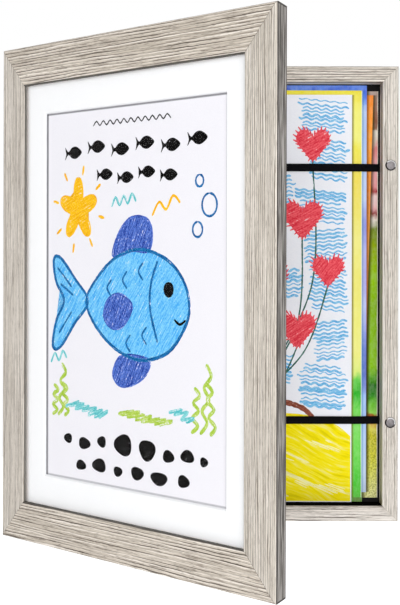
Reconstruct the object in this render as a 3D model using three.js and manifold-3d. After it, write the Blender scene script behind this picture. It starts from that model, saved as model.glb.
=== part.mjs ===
// Changeable art frame: a picture door hinged on a shallow storage box that hangs on a wall.
// Millimetres. +Z is up, +X is to the viewer's right, -Y is towards the viewer.
// The origin is the centre of the storage box's rear face, which faces the wall.
// The door is shown open, as it is when the pictures are changed.
import * as THREE from 'three';
import { mergeVertices } from 'three/addons/utils/BufferGeometryUtils.js';
import Module from 'manifold-3d';

// What the frame takes: a 10 x 12.5 inch insert. A mat with a one inch border shows a letter-size
// page, which laps a quarter of an inch behind the mat all round.
const insertWidth = 254;
const insertHeight = 317.5;
const matBorder = 25.4;
const pageLap = 6.35;

// Door moulding: a flat face with a lip that holds the glazing, a rabbet behind the lip, and an
// outer side that leans in towards the back.
const faceWidth = 29.5;
const doorDepth = 11;
const lipOverlap = 3;
const lipDepth = 2.5;
const faceEdgeRadius = 1.6;
const lipEdgeRadius = 0.7;
const backEdgeRadius = 0.5;
const sideLean = 2;
const restOpening = 50;

// What lies in the door's rabbet, front to back.
const glazingThickness = 1.2;
const matThickness = 1.4;
const pageThickness = 0.3;
const backingThickness = 2;
const insertPlay = 0.4;
const layerGap = 0.25;

// Storage box, smaller than the door all round.
const doorOverhang = 11;
const boxWall = 12;
const boxDepth = 23;
const boxFrontRadius = 1.2;
const panelThickness = 3;
const panelLap = 3.5;
const seamGap = 1;

// Clearances: between pieces that seat on each other, and at the mitres.
const seatGap = 0.25;
const mitreGap = 0.2;
const cutOverrun = 1;
const weldDistance = 0.0001;

// Butt hinges in the corner between the door's rear face and the box's side.
const hingeEndInset = 58.25;
const leafLength = 32;
const leafReach = 6.2;
const leafThickness = 0.9;
const leafCornerRadius = 1;
const knuckleRadius = 2;
const hingePinRadius = 1;
const hingePinPlay = 0.2;
const pinHeadRadius = 1.5;
const pinHeadThickness = 0.6;
const knuckleGap = 0.3;
const hingeScrewEndInset = 7;
const hingeScrewSetback = 4.3;
const hingeScrewHeadRadius = 1.4;
const hingeScrewRadius = 0.8;
const hingeScrewLength = 7;

// Turn buttons on the door's backing board. Their tips swing into kerfs in the rabbet walls.
const buttonEndInset = 63.75;
const buttonReach = 18;
const buttonTail = 6;
const buttonSetback = 15;
const buttonWidth = 7;
const buttonTipWidth = 5;
const buttonThickness = 0.8;
const kerfPlay = 0.3;
const rivetRadius = 1.5;
const rivetPlay = 0.2;
const rivetHeadRadius = 3;
const rivetHeadThickness = 0.7;
const rivetFlareRadius = 2.4;
const rivetFlareDepth = 0.7;

// Magnetic closure: magnets in the box's right stile, steel strikes in the door behind them.
const magnetEndInset = 75.75;
const magnetSideInset = 6;
const magnetRadius = 4;
const magnetLength = 3;
const magnetProud = 0.4;
const strikeRadius = 4.5;
const strikeThickness = 1.5;
const strikeProud = 0.2;

// Elastic straps across the stored sheets.
const strapEndInset = 64.25;
const strapWidth = 6;
const strapThickness = 0.8;
const strapTuck = 3;
const strapSlotPlay = 0.5;
const sheetClearance = 0.3;

// Stored sheets, rear to front. Each share is of the insert's width or height.
const sheetThickness = 0.3;
const sheetPitch = 0.6;
const sheetNames = ['mixed', 'orange', 'blue', 'yellow_green', 'crayon'];
const sheetHeightShare = 0.995;
const sheetWidthShares = [1, 0.976, 0.953, 0.935, 0.9];
const sheetRightGapShares = [0.0067, 0.0213, 0.0417, 0.0563, 0.087];
const sheetLiftShares = [0.0106, 0.001, 0.0245, 0.012, 0.0012];

// Brads that hold the back panel in its rabbet.
const bradHeadRadius = 1.2;
const bradRadius = 0.6;
const bradLength = 12;
const bradSink = 0.15;
const bradHeightShare = 0.3;

// Sawtooth hangers, one for each way of hanging, and soft bumpers at the rear corners.
const hangerLength = 44;
const hangerHeight = 7.4;
const hangerThickness = 0.8;
const hangerBow = 1;
const hangerToothedLength = 26;
const hangerToothDepth = 1.6;
const hangerTeeth = 11;
const prongLength = 5;
const prongWidth = 1.6;
const prongThickness = 0.8;
const prongInset = 2.5;
const bumperRadius = 4;
const bumperHeight = 2;
const bumperInset = 5.5;
const bumperEdgeRadius = 0.8;

// How finely round shapes are cut.
const roundSides = 20;
const screwSides = 12;
const discSides = 36;
const arcSteps = 4;

// Sizes that follow from those above.
const windowWidth = insertWidth - 2 * matBorder;
const windowHeight = insertHeight - 2 * matBorder;
const pageWidth = windowWidth + 2 * pageLap;
const pageHeight = windowHeight + 2 * pageLap;
const openingWidth = insertWidth - 2 * lipOverlap;
const openingHeight = insertHeight - 2 * lipOverlap;
const doorWidth = openingWidth + 2 * faceWidth;
const doorHeight = openingHeight + 2 * faceWidth;
const boxWidth = doorWidth - 2 * doorOverhang;
const boxHeight = doorHeight - 2 * doorOverhang;
const innerWidth = boxWidth - 2 * boxWall;
const innerHeight = boxHeight - 2 * boxWall;
const doorBackY = -(boxDepth + seamGap);
const lipBackY = doorBackY - doorDepth + lipDepth;
const pinX = -(boxWidth / 2 + seatGap + knuckleRadius);
const pinY = doorBackY + seatGap + knuckleRadius;
const panelFrontY = -panelThickness;

const wasm = await Module();
wasm.setup();

// Finishes.
function finish(colour, roughness, metalness) {
  return new THREE.MeshStandardMaterial({ color: colour, roughness, metalness });
}
const doorFoil = finish(0xcfc8bb, 0.6, 0);
const boxFoil = finish(0xd3cdc5, 0.6, 0);
const blackBoard = finish(0x0c0c0e, 0.7, 0);
const rawBoard = finish(0x8a6f52, 0.85, 0);
const clearSheet = finish(0xf4f8f8, 0.08, 0);
const matWhite = finish(0xfcfcfc, 0.9, 0);
const paperWhite = finish(0xf2f1f8, 0.85, 0);
const elastic = finish(0x101012, 0.9, 0);
const nickel = finish(0x9b979b, 0.35, 1);
const zincSteel = finish(0xb8b8b4, 0.4, 1);
const softRubber = finish(0x2a2a2c, 0.8, 0);
const sheetColours = {
  mixed: finish(0xb98a86, 0.85, 0),
  orange: finish(0xff9a30, 0.85, 0),
  blue: finish(0x8fb8f0, 0.85, 0),
  yellow_green: finish(0xe8e64a, 0.85, 0),
  crayon: finish(0xf4f4f8, 0.85, 0),
};

// Adds one named piece to a group, with its own material.
function addPiece(group, name, geometry, material, position = [0, 0, 0], turn = [0, 0, 0]) {
  const mesh = new THREE.Mesh(geometry, material.clone());
  mesh.name = name;
  mesh.position.set(...position);
  mesh.rotation.set(...turn);
  group.add(mesh);
  return mesh;
}

// A closed geometry as a solid that can be joined and cut.
function toSolid(geometry) {
  const bare = geometry.clone();
  bare.deleteAttribute('normal');
  bare.deleteAttribute('uv');
  const merged = mergeVertices(bare, weldDistance);
  return new wasm.Manifold(new wasm.Mesh({
    numProp: 3,
    vertProperties: Float32Array.from(merged.attributes.position.array),
    triVerts: Uint32Array.from(merged.index.array),
  }));
}

function toGeometry(solid) {
  const mesh = solid.getMesh();
  const geometry = new THREE.BufferGeometry();
  geometry.setAttribute('position', new THREE.BufferAttribute(Float32Array.from(mesh.vertProperties), 3));
  geometry.setIndex(new THREE.BufferAttribute(Uint32Array.from(mesh.triVerts), 1));
  const faceted = geometry.toNonIndexed();
  faceted.computeVertexNormals();
  return faceted;
}

function join(geometries) {
  return toGeometry(geometries.map(toSolid).reduce((whole, next) => whole.add(next)));
}

// Cuts tools out of a placed piece. The tools are given in the group's own coordinates.
function cutFrom(mesh, tools) {
  mesh.updateMatrix();
  const intoPiece = mesh.matrix.clone().invert();
  const whole = tools.reduce(
    (solid, tool) => solid.subtract(toSolid(tool.clone().applyMatrix4(intoPiece))),
    toSolid(mesh.geometry),
  );
  mesh.geometry = toGeometry(whole);
}

// A flat plate from an outline drawn in X and Z. Its rear face is at y = 0, its front at -thickness.
function plate(outline, thickness) {
  const shape = new THREE.ExtrudeGeometry(outline, {
    depth: thickness, bevelEnabled: false, curveSegments: arcSteps,
  });
  return shape.rotateX(Math.PI / 2);
}

// A round piece about Y from [radius, y] points, top point first.
function turned(points, sides = roundSides) {
  const profile = points.map(([radius, y]) => new THREE.Vector2(radius, y)).reverse();
  return new THREE.LatheGeometry(profile, sides);
}

// Profile points of an edge rounded from the top, at topY, down to the side, at a radius.
function roundedEdge(radius, topY, edgeRadius) {
  const points = [];
  for (let step = 0; step <= arcSteps; step += 1) {
    const angle = (step / arcSteps) * (Math.PI / 2);
    const inward = edgeRadius * (1 - Math.sin(angle));
    points.push([radius - inward, topY - edgeRadius * (1 - Math.cos(angle))]);
  }
  return points;
}

// A disc about Y between two y places.
function disc(radius, lowY, highY, sides = discSides) {
  const shape = new THREE.CylinderGeometry(radius, radius, highY - lowY, sides);
  return shape.translate(0, (lowY + highY) / 2, 0);
}

// A box between two corners.
function block(low, high) {
  const size = high.map((value, axis) => value - low[axis]);
  const middle = high.map((value, axis) => (value + low[axis]) / 2);
  return new THREE.BoxGeometry(...size).translate(...middle);
}

// Moulding outlines: x runs inward from the outer edge, y runs from the rear to the front.
function doorProfile() {
  const rabbetWall = faceWidth - lipOverlap - insertPlay;
  const lipBack = doorDepth - lipDepth;
  const outline = new THREE.Shape();
  outline.moveTo(sideLean + backEdgeRadius, 0);
  outline.lineTo(rabbetWall, 0);
  outline.lineTo(rabbetWall, lipBack);
  outline.lineTo(faceWidth, lipBack);
  outline.lineTo(faceWidth, doorDepth - lipEdgeRadius);
  outline.absarc(faceWidth - lipEdgeRadius, doorDepth - lipEdgeRadius, lipEdgeRadius, 0, Math.PI / 2);
  outline.lineTo(faceEdgeRadius, doorDepth);
  outline.absarc(faceEdgeRadius, doorDepth - faceEdgeRadius, faceEdgeRadius, Math.PI / 2, Math.PI);
  outline.lineTo(sideLean, backEdgeRadius);
  outline.absarc(
    sideLean + backEdgeRadius, backEdgeRadius, backEdgeRadius, Math.PI, 1.5 * Math.PI,
  );
  return outline;
}

function boxProfile() {
  const rabbetWall = boxWall - panelLap - seatGap;
  const ledge = panelThickness + seatGap;
  const frontCentre = boxDepth - boxFrontRadius;
  const outline = new THREE.Shape();
  outline.moveTo(backEdgeRadius, 0);
  outline.lineTo(rabbetWall, 0);
  outline.lineTo(rabbetWall, ledge);
  outline.lineTo(boxWall, ledge);
  outline.lineTo(boxWall, frontCentre);
  outline.absarc(boxWall - boxFrontRadius, frontCentre, boxFrontRadius, 0, Math.PI / 2);
  outline.lineTo(boxFrontRadius, boxDepth);
  outline.absarc(boxFrontRadius, frontCentre, boxFrontRadius, Math.PI / 2, Math.PI);
  outline.lineTo(0, backEdgeRadius);
  outline.absarc(backEdgeRadius, backEdgeRadius, backEdgeRadius, Math.PI, 1.5 * Math.PI);
  return outline;
}

// A length of moulding as the bottom rail, its outer edge along X at z = 0. Each end is mitred at
// 45 degrees: the end outline slides along the rail by its distance from the outer edge.
function mitredBar(profile, outerLength) {
  const bar = new THREE.ExtrudeGeometry(profile, {
    depth: outerLength, bevelEnabled: false, curveSegments: arcSteps,
  });
  const places = bar.attributes.position;
  for (let i = 0; i < places.count; i += 1) {
    const slide = places.getX(i) + mitreGap * Math.SQRT1_2;
    const along = places.getZ(i);
    places.setZ(i, along < outerLength / 2 ? along + slide : along - slide);
  }
  bar.translate(0, 0, -outerLength / 2);
  const inward = new THREE.Vector3(0, 0, 1);
  const forward = new THREE.Vector3(0, -1, 0);
  const lengthwise = new THREE.Vector3(1, 0, 0);
  return bar.applyMatrix4(new THREE.Matrix4().makeBasis(inward, forward, lengthwise));
}

// Four mitred rails around a width and height, with their rear faces at backY.
function mitredFrame(group, prefix, profile, width, height, backY, material) {
  const level = mitredBar(profile, width);
  const upright = mitredBar(profile, height);
  const quarter = Math.PI / 2;
  return {
    bottom: addPiece(group, `${prefix}_bottom_rail`, level, material, [0, backY, -height / 2]),
    top: addPiece(group, `${prefix}_top_rail`, level.clone(), material, [0, backY, height / 2], [0, 2 * quarter, 0]),
    left: addPiece(group, `${prefix}_left_stile`, upright, material, [-width / 2, backY, 0], [0, quarter, 0]),
    right: addPiece(group, `${prefix}_right_stile`, upright.clone(), material, [width / 2, backY, 0], [0, -quarter, 0]),
  };
}

// Two places above and below the middle of a height, each set in from its end.
function pair(height, endInset) {
  const z = height / 2 - endInset;
  return [{ place: 'upper', z }, { place: 'lower', z: -z }];
}

// A countersunk screw that goes in along -Y from its flat head at y = 0.
function screw(grow = 0) {
  const headDepth = hingeScrewHeadRadius - hingeScrewRadius;
  return turned([
    [0, grow],
    [hingeScrewHeadRadius + grow, grow],
    [hingeScrewHeadRadius + grow, 0],
    [hingeScrewRadius + grow, -headDepth - grow],
    [hingeScrewRadius + grow, -hingeScrewLength + headDepth],
    [0, -hingeScrewLength - grow],
  ], screwSides);
}

// One hinge leaf with its knuckles. x runs along the leaf from the pin's axis, y runs towards the
// wood that it is screwed to, and z runs along the pin, with the leaf's middle at 0.
function hingeLeaf(knuckles) {
  const clearStart = knuckleRadius + seatGap + hingePinPlay;
  const outline = new THREE.Shape();
  outline.moveTo(clearStart, -leafLength / 2);
  outline.lineTo(leafReach - leafCornerRadius, -leafLength / 2);
  outline.absarc(
    leafReach - leafCornerRadius, leafCornerRadius - leafLength / 2, leafCornerRadius, -Math.PI / 2, 0,
  );
  outline.lineTo(leafReach, leafLength / 2 - leafCornerRadius);
  outline.absarc(
    leafReach - leafCornerRadius, leafLength / 2 - leafCornerRadius, leafCornerRadius, 0, Math.PI / 2,
  );
  outline.lineTo(clearStart, leafLength / 2);
  const flat = plate(outline, leafThickness).translate(0, knuckleRadius, 0);
  return join([flat, ...knuckles.map(([low, high]) => knuckle(low, high, clearStart))]);
}

// A rolled knuckle and the tab that runs from it into the leaf.
function knuckle(low, high, tabStart) {
  const tabEnd = tabStart + leafThickness;
  const meetAngle = Math.acos((knuckleRadius - leafThickness) / knuckleRadius);
  const outline = new THREE.Shape();
  outline.moveTo(tabEnd, knuckleRadius);
  outline.lineTo(0, knuckleRadius);
  outline.absarc(0, 0, knuckleRadius, Math.PI / 2, Math.PI / 2 - meetAngle + 2 * Math.PI);
  outline.lineTo(tabEnd, knuckleRadius - leafThickness);
  const bore = new THREE.Path();
  bore.absarc(0, 0, hingePinRadius + hingePinPlay, 0, 2 * Math.PI, true);
  outline.holes.push(bore);
  const rolled = new THREE.ExtrudeGeometry(outline, {
    depth: high - low, bevelEnabled: false, curveSegments: screwSides,
  });
  return rolled.translate(0, 0, low);
}

function hingePin() {
  const headTop = leafLength / 2 + knuckleGap + pinHeadThickness;
  const headBase = leafLength / 2 + knuckleGap;
  return turned([
    [0, headTop],
    [pinHeadRadius, headTop],
    [pinHeadRadius, headBase],
    [hingePinRadius, headBase],
    [hingePinRadius, -headBase],
    [pinHeadRadius, -headBase],
    [pinHeadRadius, -headTop],
    [0, -headTop],
  ]).rotateX(Math.PI / 2);
}

// The two halves of each hinge share the pin: two knuckles on the box's leaf, one on the door's.
function addHinges(box, boxStile, door, doorStile) {
  const middleHalf = leafLength / 3 / 2;
  const middle = hingeLeaf([[knuckleGap - middleHalf, middleHalf - knuckleGap]]);
  const ends = hingeLeaf([[-leafLength / 2, -middleHalf], [middleHalf, leafLength / 2]]);
  const alongX = new THREE.Vector3(1, 0, 0);
  const alongY = new THREE.Vector3(0, 1, 0);
  const down = new THREE.Vector3(0, 0, -1);
  ends.applyMatrix4(new THREE.Matrix4().makeBasis(alongY, alongX, down));
  middle.rotateZ(Math.PI);
  const boxFaceX = pinX + knuckleRadius - leafThickness;
  const doorFaceY = pinY - knuckleRadius + leafThickness;
  const boxHoles = [];
  const doorHoles = [];
  pair(boxHeight, hingeEndInset).forEach(({ place, z }) => {
    const boxLeaf = addPiece(box, `${place}_hinge_box_leaf`, ends.clone(), nickel, [pinX, pinY, z]);
    const doorLeaf = addPiece(door, `${place}_hinge_door_leaf`, middle.clone(), nickel, [pinX, pinY, z]);
    addPiece(box, `${place}_hinge_pin`, hingePin(), nickel, [pinX, pinY, z]);
    pair(leafLength, hingeScrewEndInset).forEach((at) => {
      const screwZ = z + at.z;
      const boxTurn = [0, 0, Math.PI / 2];
      const boxPlace = [boxFaceX, pinY + hingeScrewSetback, screwZ];
      const doorPlace = [pinX - hingeScrewSetback, doorFaceY, screwZ];
      addPiece(box, `${place}_hinge_box_screw_${at.place}`, screw(), zincSteel, boxPlace, boxTurn);
      addPiece(door, `${place}_hinge_door_screw_${at.place}`, screw(), zincSteel, doorPlace);
      const boxHole = screw(seatGap).rotateZ(Math.PI / 2).translate(...boxPlace);
      const doorHole = screw(seatGap).translate(...doorPlace);
      boxHoles.push(boxHole);
      doorHoles.push(doorHole);
      cutFrom(boxLeaf, [boxHole]);
      cutFrom(doorLeaf, [doorHole]);
    });
  });
  cutFrom(boxStile, boxHoles);
  cutFrom(doorStile, doorHoles);
}

// Front to back in the rabbet: glazing, mat, picture and backing board.
function addDoorPackage(door) {
  const layers = {};
  let y = lipBackY;
  const addLayer = (name, geometry, thickness, material) => {
    y += layerGap + thickness;
    layers[name] = addPiece(door, name, geometry, material, [0, y, 0]);
  };
  const sheet = (width, height, thickness) => (
    block([-width / 2, -thickness, -height / 2], [width / 2, 0, height / 2])
  );
  addLayer('glazing', sheet(insertWidth, insertHeight, glazingThickness), glazingThickness, clearSheet);
  addLayer('mat_board', matBoard(), matThickness, matWhite);
  addLayer('display_page', sheet(pageWidth, pageHeight, pageThickness), pageThickness, paperWhite);
  addLayer('door_backing', sheet(insertWidth, insertHeight, backingThickness), backingThickness, rawBoard);
  return layers.door_backing;
}

// A mat with a 45 degree bevel round its window: the window is wider on the front face.
function matBoard() {
  const outline = rectangle(insertWidth, insertHeight);
  outline.holes.push(rectangle(windowWidth, windowHeight));
  const mat = plate(outline, matThickness);
  const places = mat.attributes.position;
  for (let i = 0; i < places.count; i += 1) {
    const [x, y, z] = [places.getX(i), places.getY(i), places.getZ(i)];
    const onWindow = Math.abs(x) < (windowWidth + insertWidth) / 4
      && Math.abs(z) < (windowHeight + insertHeight) / 4;
    const onFront = y < -matThickness / 2;
    if (onWindow && onFront) {
      places.setX(i, x + Math.sign(x) * matThickness);
      places.setZ(i, z + Math.sign(z) * matThickness);
    }
  }
  mat.computeVertexNormals();
  return mat;
}

function rectangle(width, height) {
  const outline = new THREE.Shape();
  outline.moveTo(-width / 2, -height / 2);
  outline.lineTo(width / 2, -height / 2);
  outline.lineTo(width / 2, height / 2);
  outline.lineTo(-width / 2, height / 2);
  return outline;
}

// A turn button: a tapered steel strip with round ends, pointing along +X from its rivet.
function turnButton() {
  const tipRadius = buttonTipWidth / 2;
  const tailRadius = buttonWidth / 2;
  const outline = new THREE.Shape();
  outline.moveTo(buttonReach - tipRadius, -tipRadius);
  outline.absarc(buttonReach - tipRadius, 0, tipRadius, -Math.PI / 2, Math.PI / 2);
  outline.lineTo(tailRadius - buttonTail, tailRadius);
  outline.absarc(tailRadius - buttonTail, 0, tailRadius, Math.PI / 2, 1.5 * Math.PI);
  const hole = new THREE.Path();
  hole.absarc(0, 0, rivetRadius + rivetPlay, 0, 2 * Math.PI, true);
  outline.holes.push(hole);
  const strip = new THREE.ExtrudeGeometry(outline, {
    depth: buttonThickness, bevelEnabled: false, curveSegments: screwSides,
  });
  return strip.rotateX(Math.PI / 2);
}

// A rivet from the board's front face, where it is flared into a countersink, to its round head
// behind the button. y = 0 is the board's front face, and it runs to +y.
function rivet(grow = 0) {
  const shankEnd = backingThickness + layerGap + buttonThickness + layerGap;
  return turned([
    [0, shankEnd + rivetHeadThickness],
    ...roundedEdge(rivetHeadRadius, shankEnd + rivetHeadThickness, rivetHeadThickness),
    [rivetRadius + grow, shankEnd],
    [rivetRadius + grow, rivetFlareDepth + grow],
    [rivetFlareRadius + grow, grow],
    [rivetFlareRadius + grow, -grow],
    [0, -grow],
  ]);
}

function addTurnButtons(door, backing, stiles) {
  const boardFrontY = backing.position.y - backingThickness;
  const buttonBackY = backing.position.y + layerGap + buttonThickness;
  const boardHoles = [];
  const kerfs = { left: [], right: [] };
  [{ hand: 'left', side: -1 }, { hand: 'right', side: 1 }].forEach(({ hand, side }) => {
    pair(insertHeight, buttonEndInset).forEach(({ place, z }) => {
      const x = side * (insertWidth / 2 + insertPlay - buttonSetback);
      const strip = turnButton();
      if (side < 0) strip.rotateY(Math.PI);
      addPiece(door, `turn_button_${place}_${hand}`, strip, zincSteel, [x, buttonBackY, z]);
      addPiece(door, `button_rivet_${place}_${hand}`, rivet(), zincSteel, [x, boardFrontY, z]);
      boardHoles.push(rivet(rivetPlay).translate(x, boardFrontY, z));
      const sweep = disc(buttonReach + kerfPlay, -buttonThickness - kerfPlay, kerfPlay);
      kerfs[hand].push(sweep.translate(x, buttonBackY, z));
    });
  });
  cutFrom(backing, boardHoles);
  cutFrom(stiles.left, kerfs.left);
  cutFrom(stiles.right, kerfs.right);
}

// Magnets stand a little proud of the box's face, and the door's strikes of its rear face.
function addCatches(box, boxStile, door, doorStile) {
  const x = boxWidth / 2 - magnetSideInset;
  const magnetFrontY = -boxDepth - magnetProud;
  const strikeBackY = doorBackY + strikeProud;
  const magnetHoles = [];
  const strikeHoles = [];
  pair(boxHeight, magnetEndInset).forEach(({ place, z }) => {
    const magnet = disc(magnetRadius, 0, magnetLength);
    const strike = disc(strikeRadius, -strikeThickness, 0);
    addPiece(box, `${place}_magnet`, magnet, nickel, [x, magnetFrontY, z]);
    addPiece(door, `${place}_strike`, strike, nickel, [x, strikeBackY, z]);
    const pocket = disc(magnetRadius + seatGap, -cutOverrun, magnetLength + seatGap);
    const recess = disc(strikeRadius + seatGap, -strikeThickness - seatGap, cutOverrun);
    magnetHoles.push(pocket.translate(x, magnetFrontY, z));
    strikeHoles.push(recess.translate(x, strikeBackY, z));
  });
  cutFrom(boxStile, magnetHoles);
  cutFrom(doorStile, strikeHoles);
}

// Where each stored sheet lies: edges in X, its bottom, and its front face in Y.
function storedSheets() {
  return sheetNames.map((name, row) => {
    const right = innerWidth / 2 - sheetRightGapShares[row] * insertWidth;
    const left = right - sheetWidthShares[row] * insertWidth;
    const bottom = -innerHeight / 2 + sheetLiftShares[row] * insertHeight;
    const backY = panelFrontY - layerGap - row * sheetPitch;
    return { name, left, right, bottom, backY, frontY: backY - sheetThickness };
  });
}

function addStoredSheets(box, sheets) {
  const height = sheetHeightShare * insertHeight;
  sheets.forEach((sheet) => {
    const corners = [[sheet.left, sheet.frontY, sheet.bottom], [sheet.right, sheet.backY, sheet.bottom + height]];
    addPiece(box, `stored_sheet_${sheet.name}`, block(...corners), sheetColours[sheet.name]);
  });
}

// A strap's outline from above. It leaves the slot at each side under the stile's rabbet ledge,
// and rests on the edge of each sheet in turn until it lies across the front one.
function strapOutline(sheets) {
  const tuckedX = innerWidth / 2 + strapTuck;
  const tuckedY = panelFrontY - seatGap;
  const rear = [[-tuckedX, tuckedY], [-innerWidth / 2, tuckedY]];
  sheets.forEach((sheet) => rear.push([sheet.left - sheetClearance, sheet.frontY - seatGap]));
  [...sheets].reverse().forEach((sheet) => rear.push([sheet.right + sheetClearance, sheet.frontY - seatGap]));
  rear.push([innerWidth / 2, tuckedY], [tuckedX, tuckedY]);
  const front = rear.map(([x, y]) => [x, y - strapThickness]).reverse();
  return new THREE.Shape([...rear, ...front].map(([x, y]) => new THREE.Vector2(x, y)));
}

function addStraps(box, sheets, stiles) {
  const outline = strapOutline(sheets);
  const slotReach = strapTuck + seatGap;
  const slotFrontY = panelFrontY - 2 * seatGap - strapThickness;
  const halfSlot = strapWidth / 2 + strapSlotPlay;
  pair(innerHeight, strapEndInset).forEach(({ place, z }) => {
    const band = new THREE.ExtrudeGeometry(outline, { depth: strapWidth, bevelEnabled: false });
    addPiece(box, `${place}_strap`, band, elastic, [0, 0, z - strapWidth / 2]);
    const edge = innerWidth / 2;
    const leftSlot = block([-edge - slotReach, slotFrontY, z - halfSlot], [-edge + cutOverrun, 0, z + halfSlot]);
    const rightSlot = block([edge - cutOverrun, slotFrontY, z - halfSlot], [edge + slotReach, 0, z + halfSlot]);
    cutFrom(stiles.left, [leftSlot]);
    cutFrom(stiles.right, [rightSlot]);
  });
}

// A brad goes in along -Y from the rear.
function brad(grow = 0) {
  const headDepth = bradHeadRadius - bradRadius;
  return turned([
    [0, grow],
    [bradHeadRadius + grow, grow],
    [bradRadius + grow, -headDepth - grow],
    [bradRadius + grow, -bradLength + bradRadius],
    [0, -bradLength - grow],
  ], screwSides);
}

// The back panel lies in the rabbet, flush with the rear, and brads go through its edge.
function addBackPanel(box, rails) {
  const panelWidth = innerWidth + 2 * panelLap;
  const panelHeight = innerHeight + 2 * panelLap;
  const body = block([-panelWidth / 2, -panelThickness, -panelHeight / 2], [panelWidth / 2, 0, panelHeight / 2]);
  const panel = addPiece(box, 'back_panel', body, blackBoard);
  const sideX = (innerWidth + panelLap) / 2;
  const endZ = (innerHeight + panelLap) / 2;
  const sideZ = bradHeightShare * innerHeight / 2;
  const places = [
    { name: 'top', rail: rails.top, x: 0, z: endZ },
    { name: 'bottom', rail: rails.bottom, x: 0, z: -endZ },
    { name: 'upper_left', rail: rails.left, x: -sideX, z: sideZ },
    { name: 'lower_left', rail: rails.left, x: -sideX, z: -sideZ },
    { name: 'upper_right', rail: rails.right, x: sideX, z: sideZ },
    { name: 'lower_right', rail: rails.right, x: sideX, z: -sideZ },
  ];
  places.forEach(({ name, rail, x, z }) => {
    const place = [x, -bradSink, z];
    addPiece(box, `panel_brad_${name}`, brad(), zincSteel, place);
    const hole = brad(seatGap).translate(...place);
    cutFrom(panel, [hole]);
    cutFrom(rail, [hole]);
  });
}

// A sawtooth hanger for the top rail: x along the rail, teeth on its lower edge, prongs into the wood.
function hanger() {
  const toothPitch = hangerToothedLength / hangerTeeth;
  const half = hangerLength / 2;
  const bottom = -hangerHeight / 2;
  const lower = [[-half, bottom]];
  const upper = [[half, -bottom]];
  for (let tooth = 0; tooth <= hangerTeeth; tooth += 1) {
    const x = tooth * toothPitch - hangerToothedLength / 2;
    lower.push([x, bottom]);
    if (tooth < hangerTeeth) lower.push([x + toothPitch / 2, bottom + hangerToothDepth]);
    upper.push([-x, -bottom]);
  }
  lower.push([half, bottom]);
  upper.push([-half, -bottom]);
  const outline = new THREE.Shape([...lower, ...upper].map(([x, y]) => new THREE.Vector2(x, y)));
  const strip = plate(outline, hangerThickness).translate(0, hangerThickness, 0);
  const places = strip.attributes.position;
  for (let i = 0; i < places.count; i += 1) {
    const share = Math.min(1, Math.abs(places.getX(i)) / (hangerToothedLength / 2));
    places.setY(i, places.getY(i) + hangerBow * (1 - share * share));
  }
  return join([strip, ...prongs(0)]);
}

function prongs(grow) {
  return [-1, 1].map((side) => {
    const x = side * (hangerLength / 2 - prongInset);
    const [wide, thick] = [prongWidth / 2 + grow, prongThickness / 2 + grow];
    return block([x - thick, -prongLength - grow, -wide], [x + thick, hangerThickness / 2, wide]);
  });
}

function addHangers(box, rails) {
  const setback = (boxWall - panelLap - seatGap) / 2;
  const places = [
    { name: 'top_hanger', rail: rails.top, at: [0, seatGap, boxHeight / 2 - setback], turn: 0 },
    { name: 'side_hanger', rail: rails.left, at: [setback - boxWidth / 2, seatGap, 0], turn: -Math.PI / 2 },
  ];
  places.forEach(({ name, rail, at, turn }) => {
    addPiece(box, name, hanger(), zincSteel, at, [0, turn, 0]);
    cutFrom(rail, prongs(seatGap).map((prong) => prong.rotateY(turn).translate(...at)));
  });
}

// Soft bumpers keep the rear corners off the wall.
function addBumpers(box) {
  const shape = () => turned([
    [0, bumperHeight],
    ...roundedEdge(bumperRadius, bumperHeight, bumperEdgeRadius),
    [bumperRadius, 0],
    [0, 0],
  ]);
  const x = boxWidth / 2 - bumperInset;
  const z = boxHeight / 2 - bumperInset;
  addPiece(box, 'bumper_upper_left', shape(), softRubber, [-x, seatGap, z]);
  addPiece(box, 'bumper_upper_right', shape(), softRubber, [x, seatGap, z]);
  addPiece(box, 'bumper_lower_left', shape(), softRubber, [-x, seatGap, -z]);
  addPiece(box, 'bumper_lower_right', shape(), softRubber, [x, seatGap, -z]);
}

// The door's pieces are placed as if it were closed, and their group turns them about the hinge pins.
const artFrame = new THREE.Group();
const storageBox = new THREE.Group();
const doorSwing = new THREE.Group();
const door = new THREE.Group();
artFrame.add(storageBox);
artFrame.add(doorSwing);
doorSwing.add(door);
doorSwing.position.set(pinX, pinY, 0);
doorSwing.rotation.z = THREE.MathUtils.degToRad(-restOpening);
door.position.set(-pinX, -pinY, 0);

const boxRails = mitredFrame(storageBox, 'box', boxProfile(), boxWidth, boxHeight, 0, boxFoil);
const doorRails = mitredFrame(door, 'door', doorProfile(), doorWidth, doorHeight, doorBackY, doorFoil);
addBackPanel(storageBox, boxRails);
addHangers(storageBox, boxRails);
addBumpers(storageBox);
addHinges(storageBox, boxRails.left, door, doorRails.left);
addCatches(storageBox, boxRails.right, door, doorRails.right);
addTurnButtons(door, addDoorPackage(door), doorRails);
const sheetStack = storedSheets();
addStoredSheets(storageBox, sheetStack);
addStraps(storageBox, sheetStack, boxRails);

export default artFrame;
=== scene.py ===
# %% [markdown]
# # A children's art frame
# The real object hangs on a wall. Its front is a picture frame that opens like a
# door, and behind it a shallow box keeps drawings under two elastic straps.
# The imported CAD solids are loaded first, because every piece that this lesson
# makes takes its place from them.

# %% Load the imported frame
import math
import random
from functools import partial

import bmesh
import bpy
from mathutils import Matrix, Vector
from mathutils.geometry import interpolate_bezier


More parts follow.
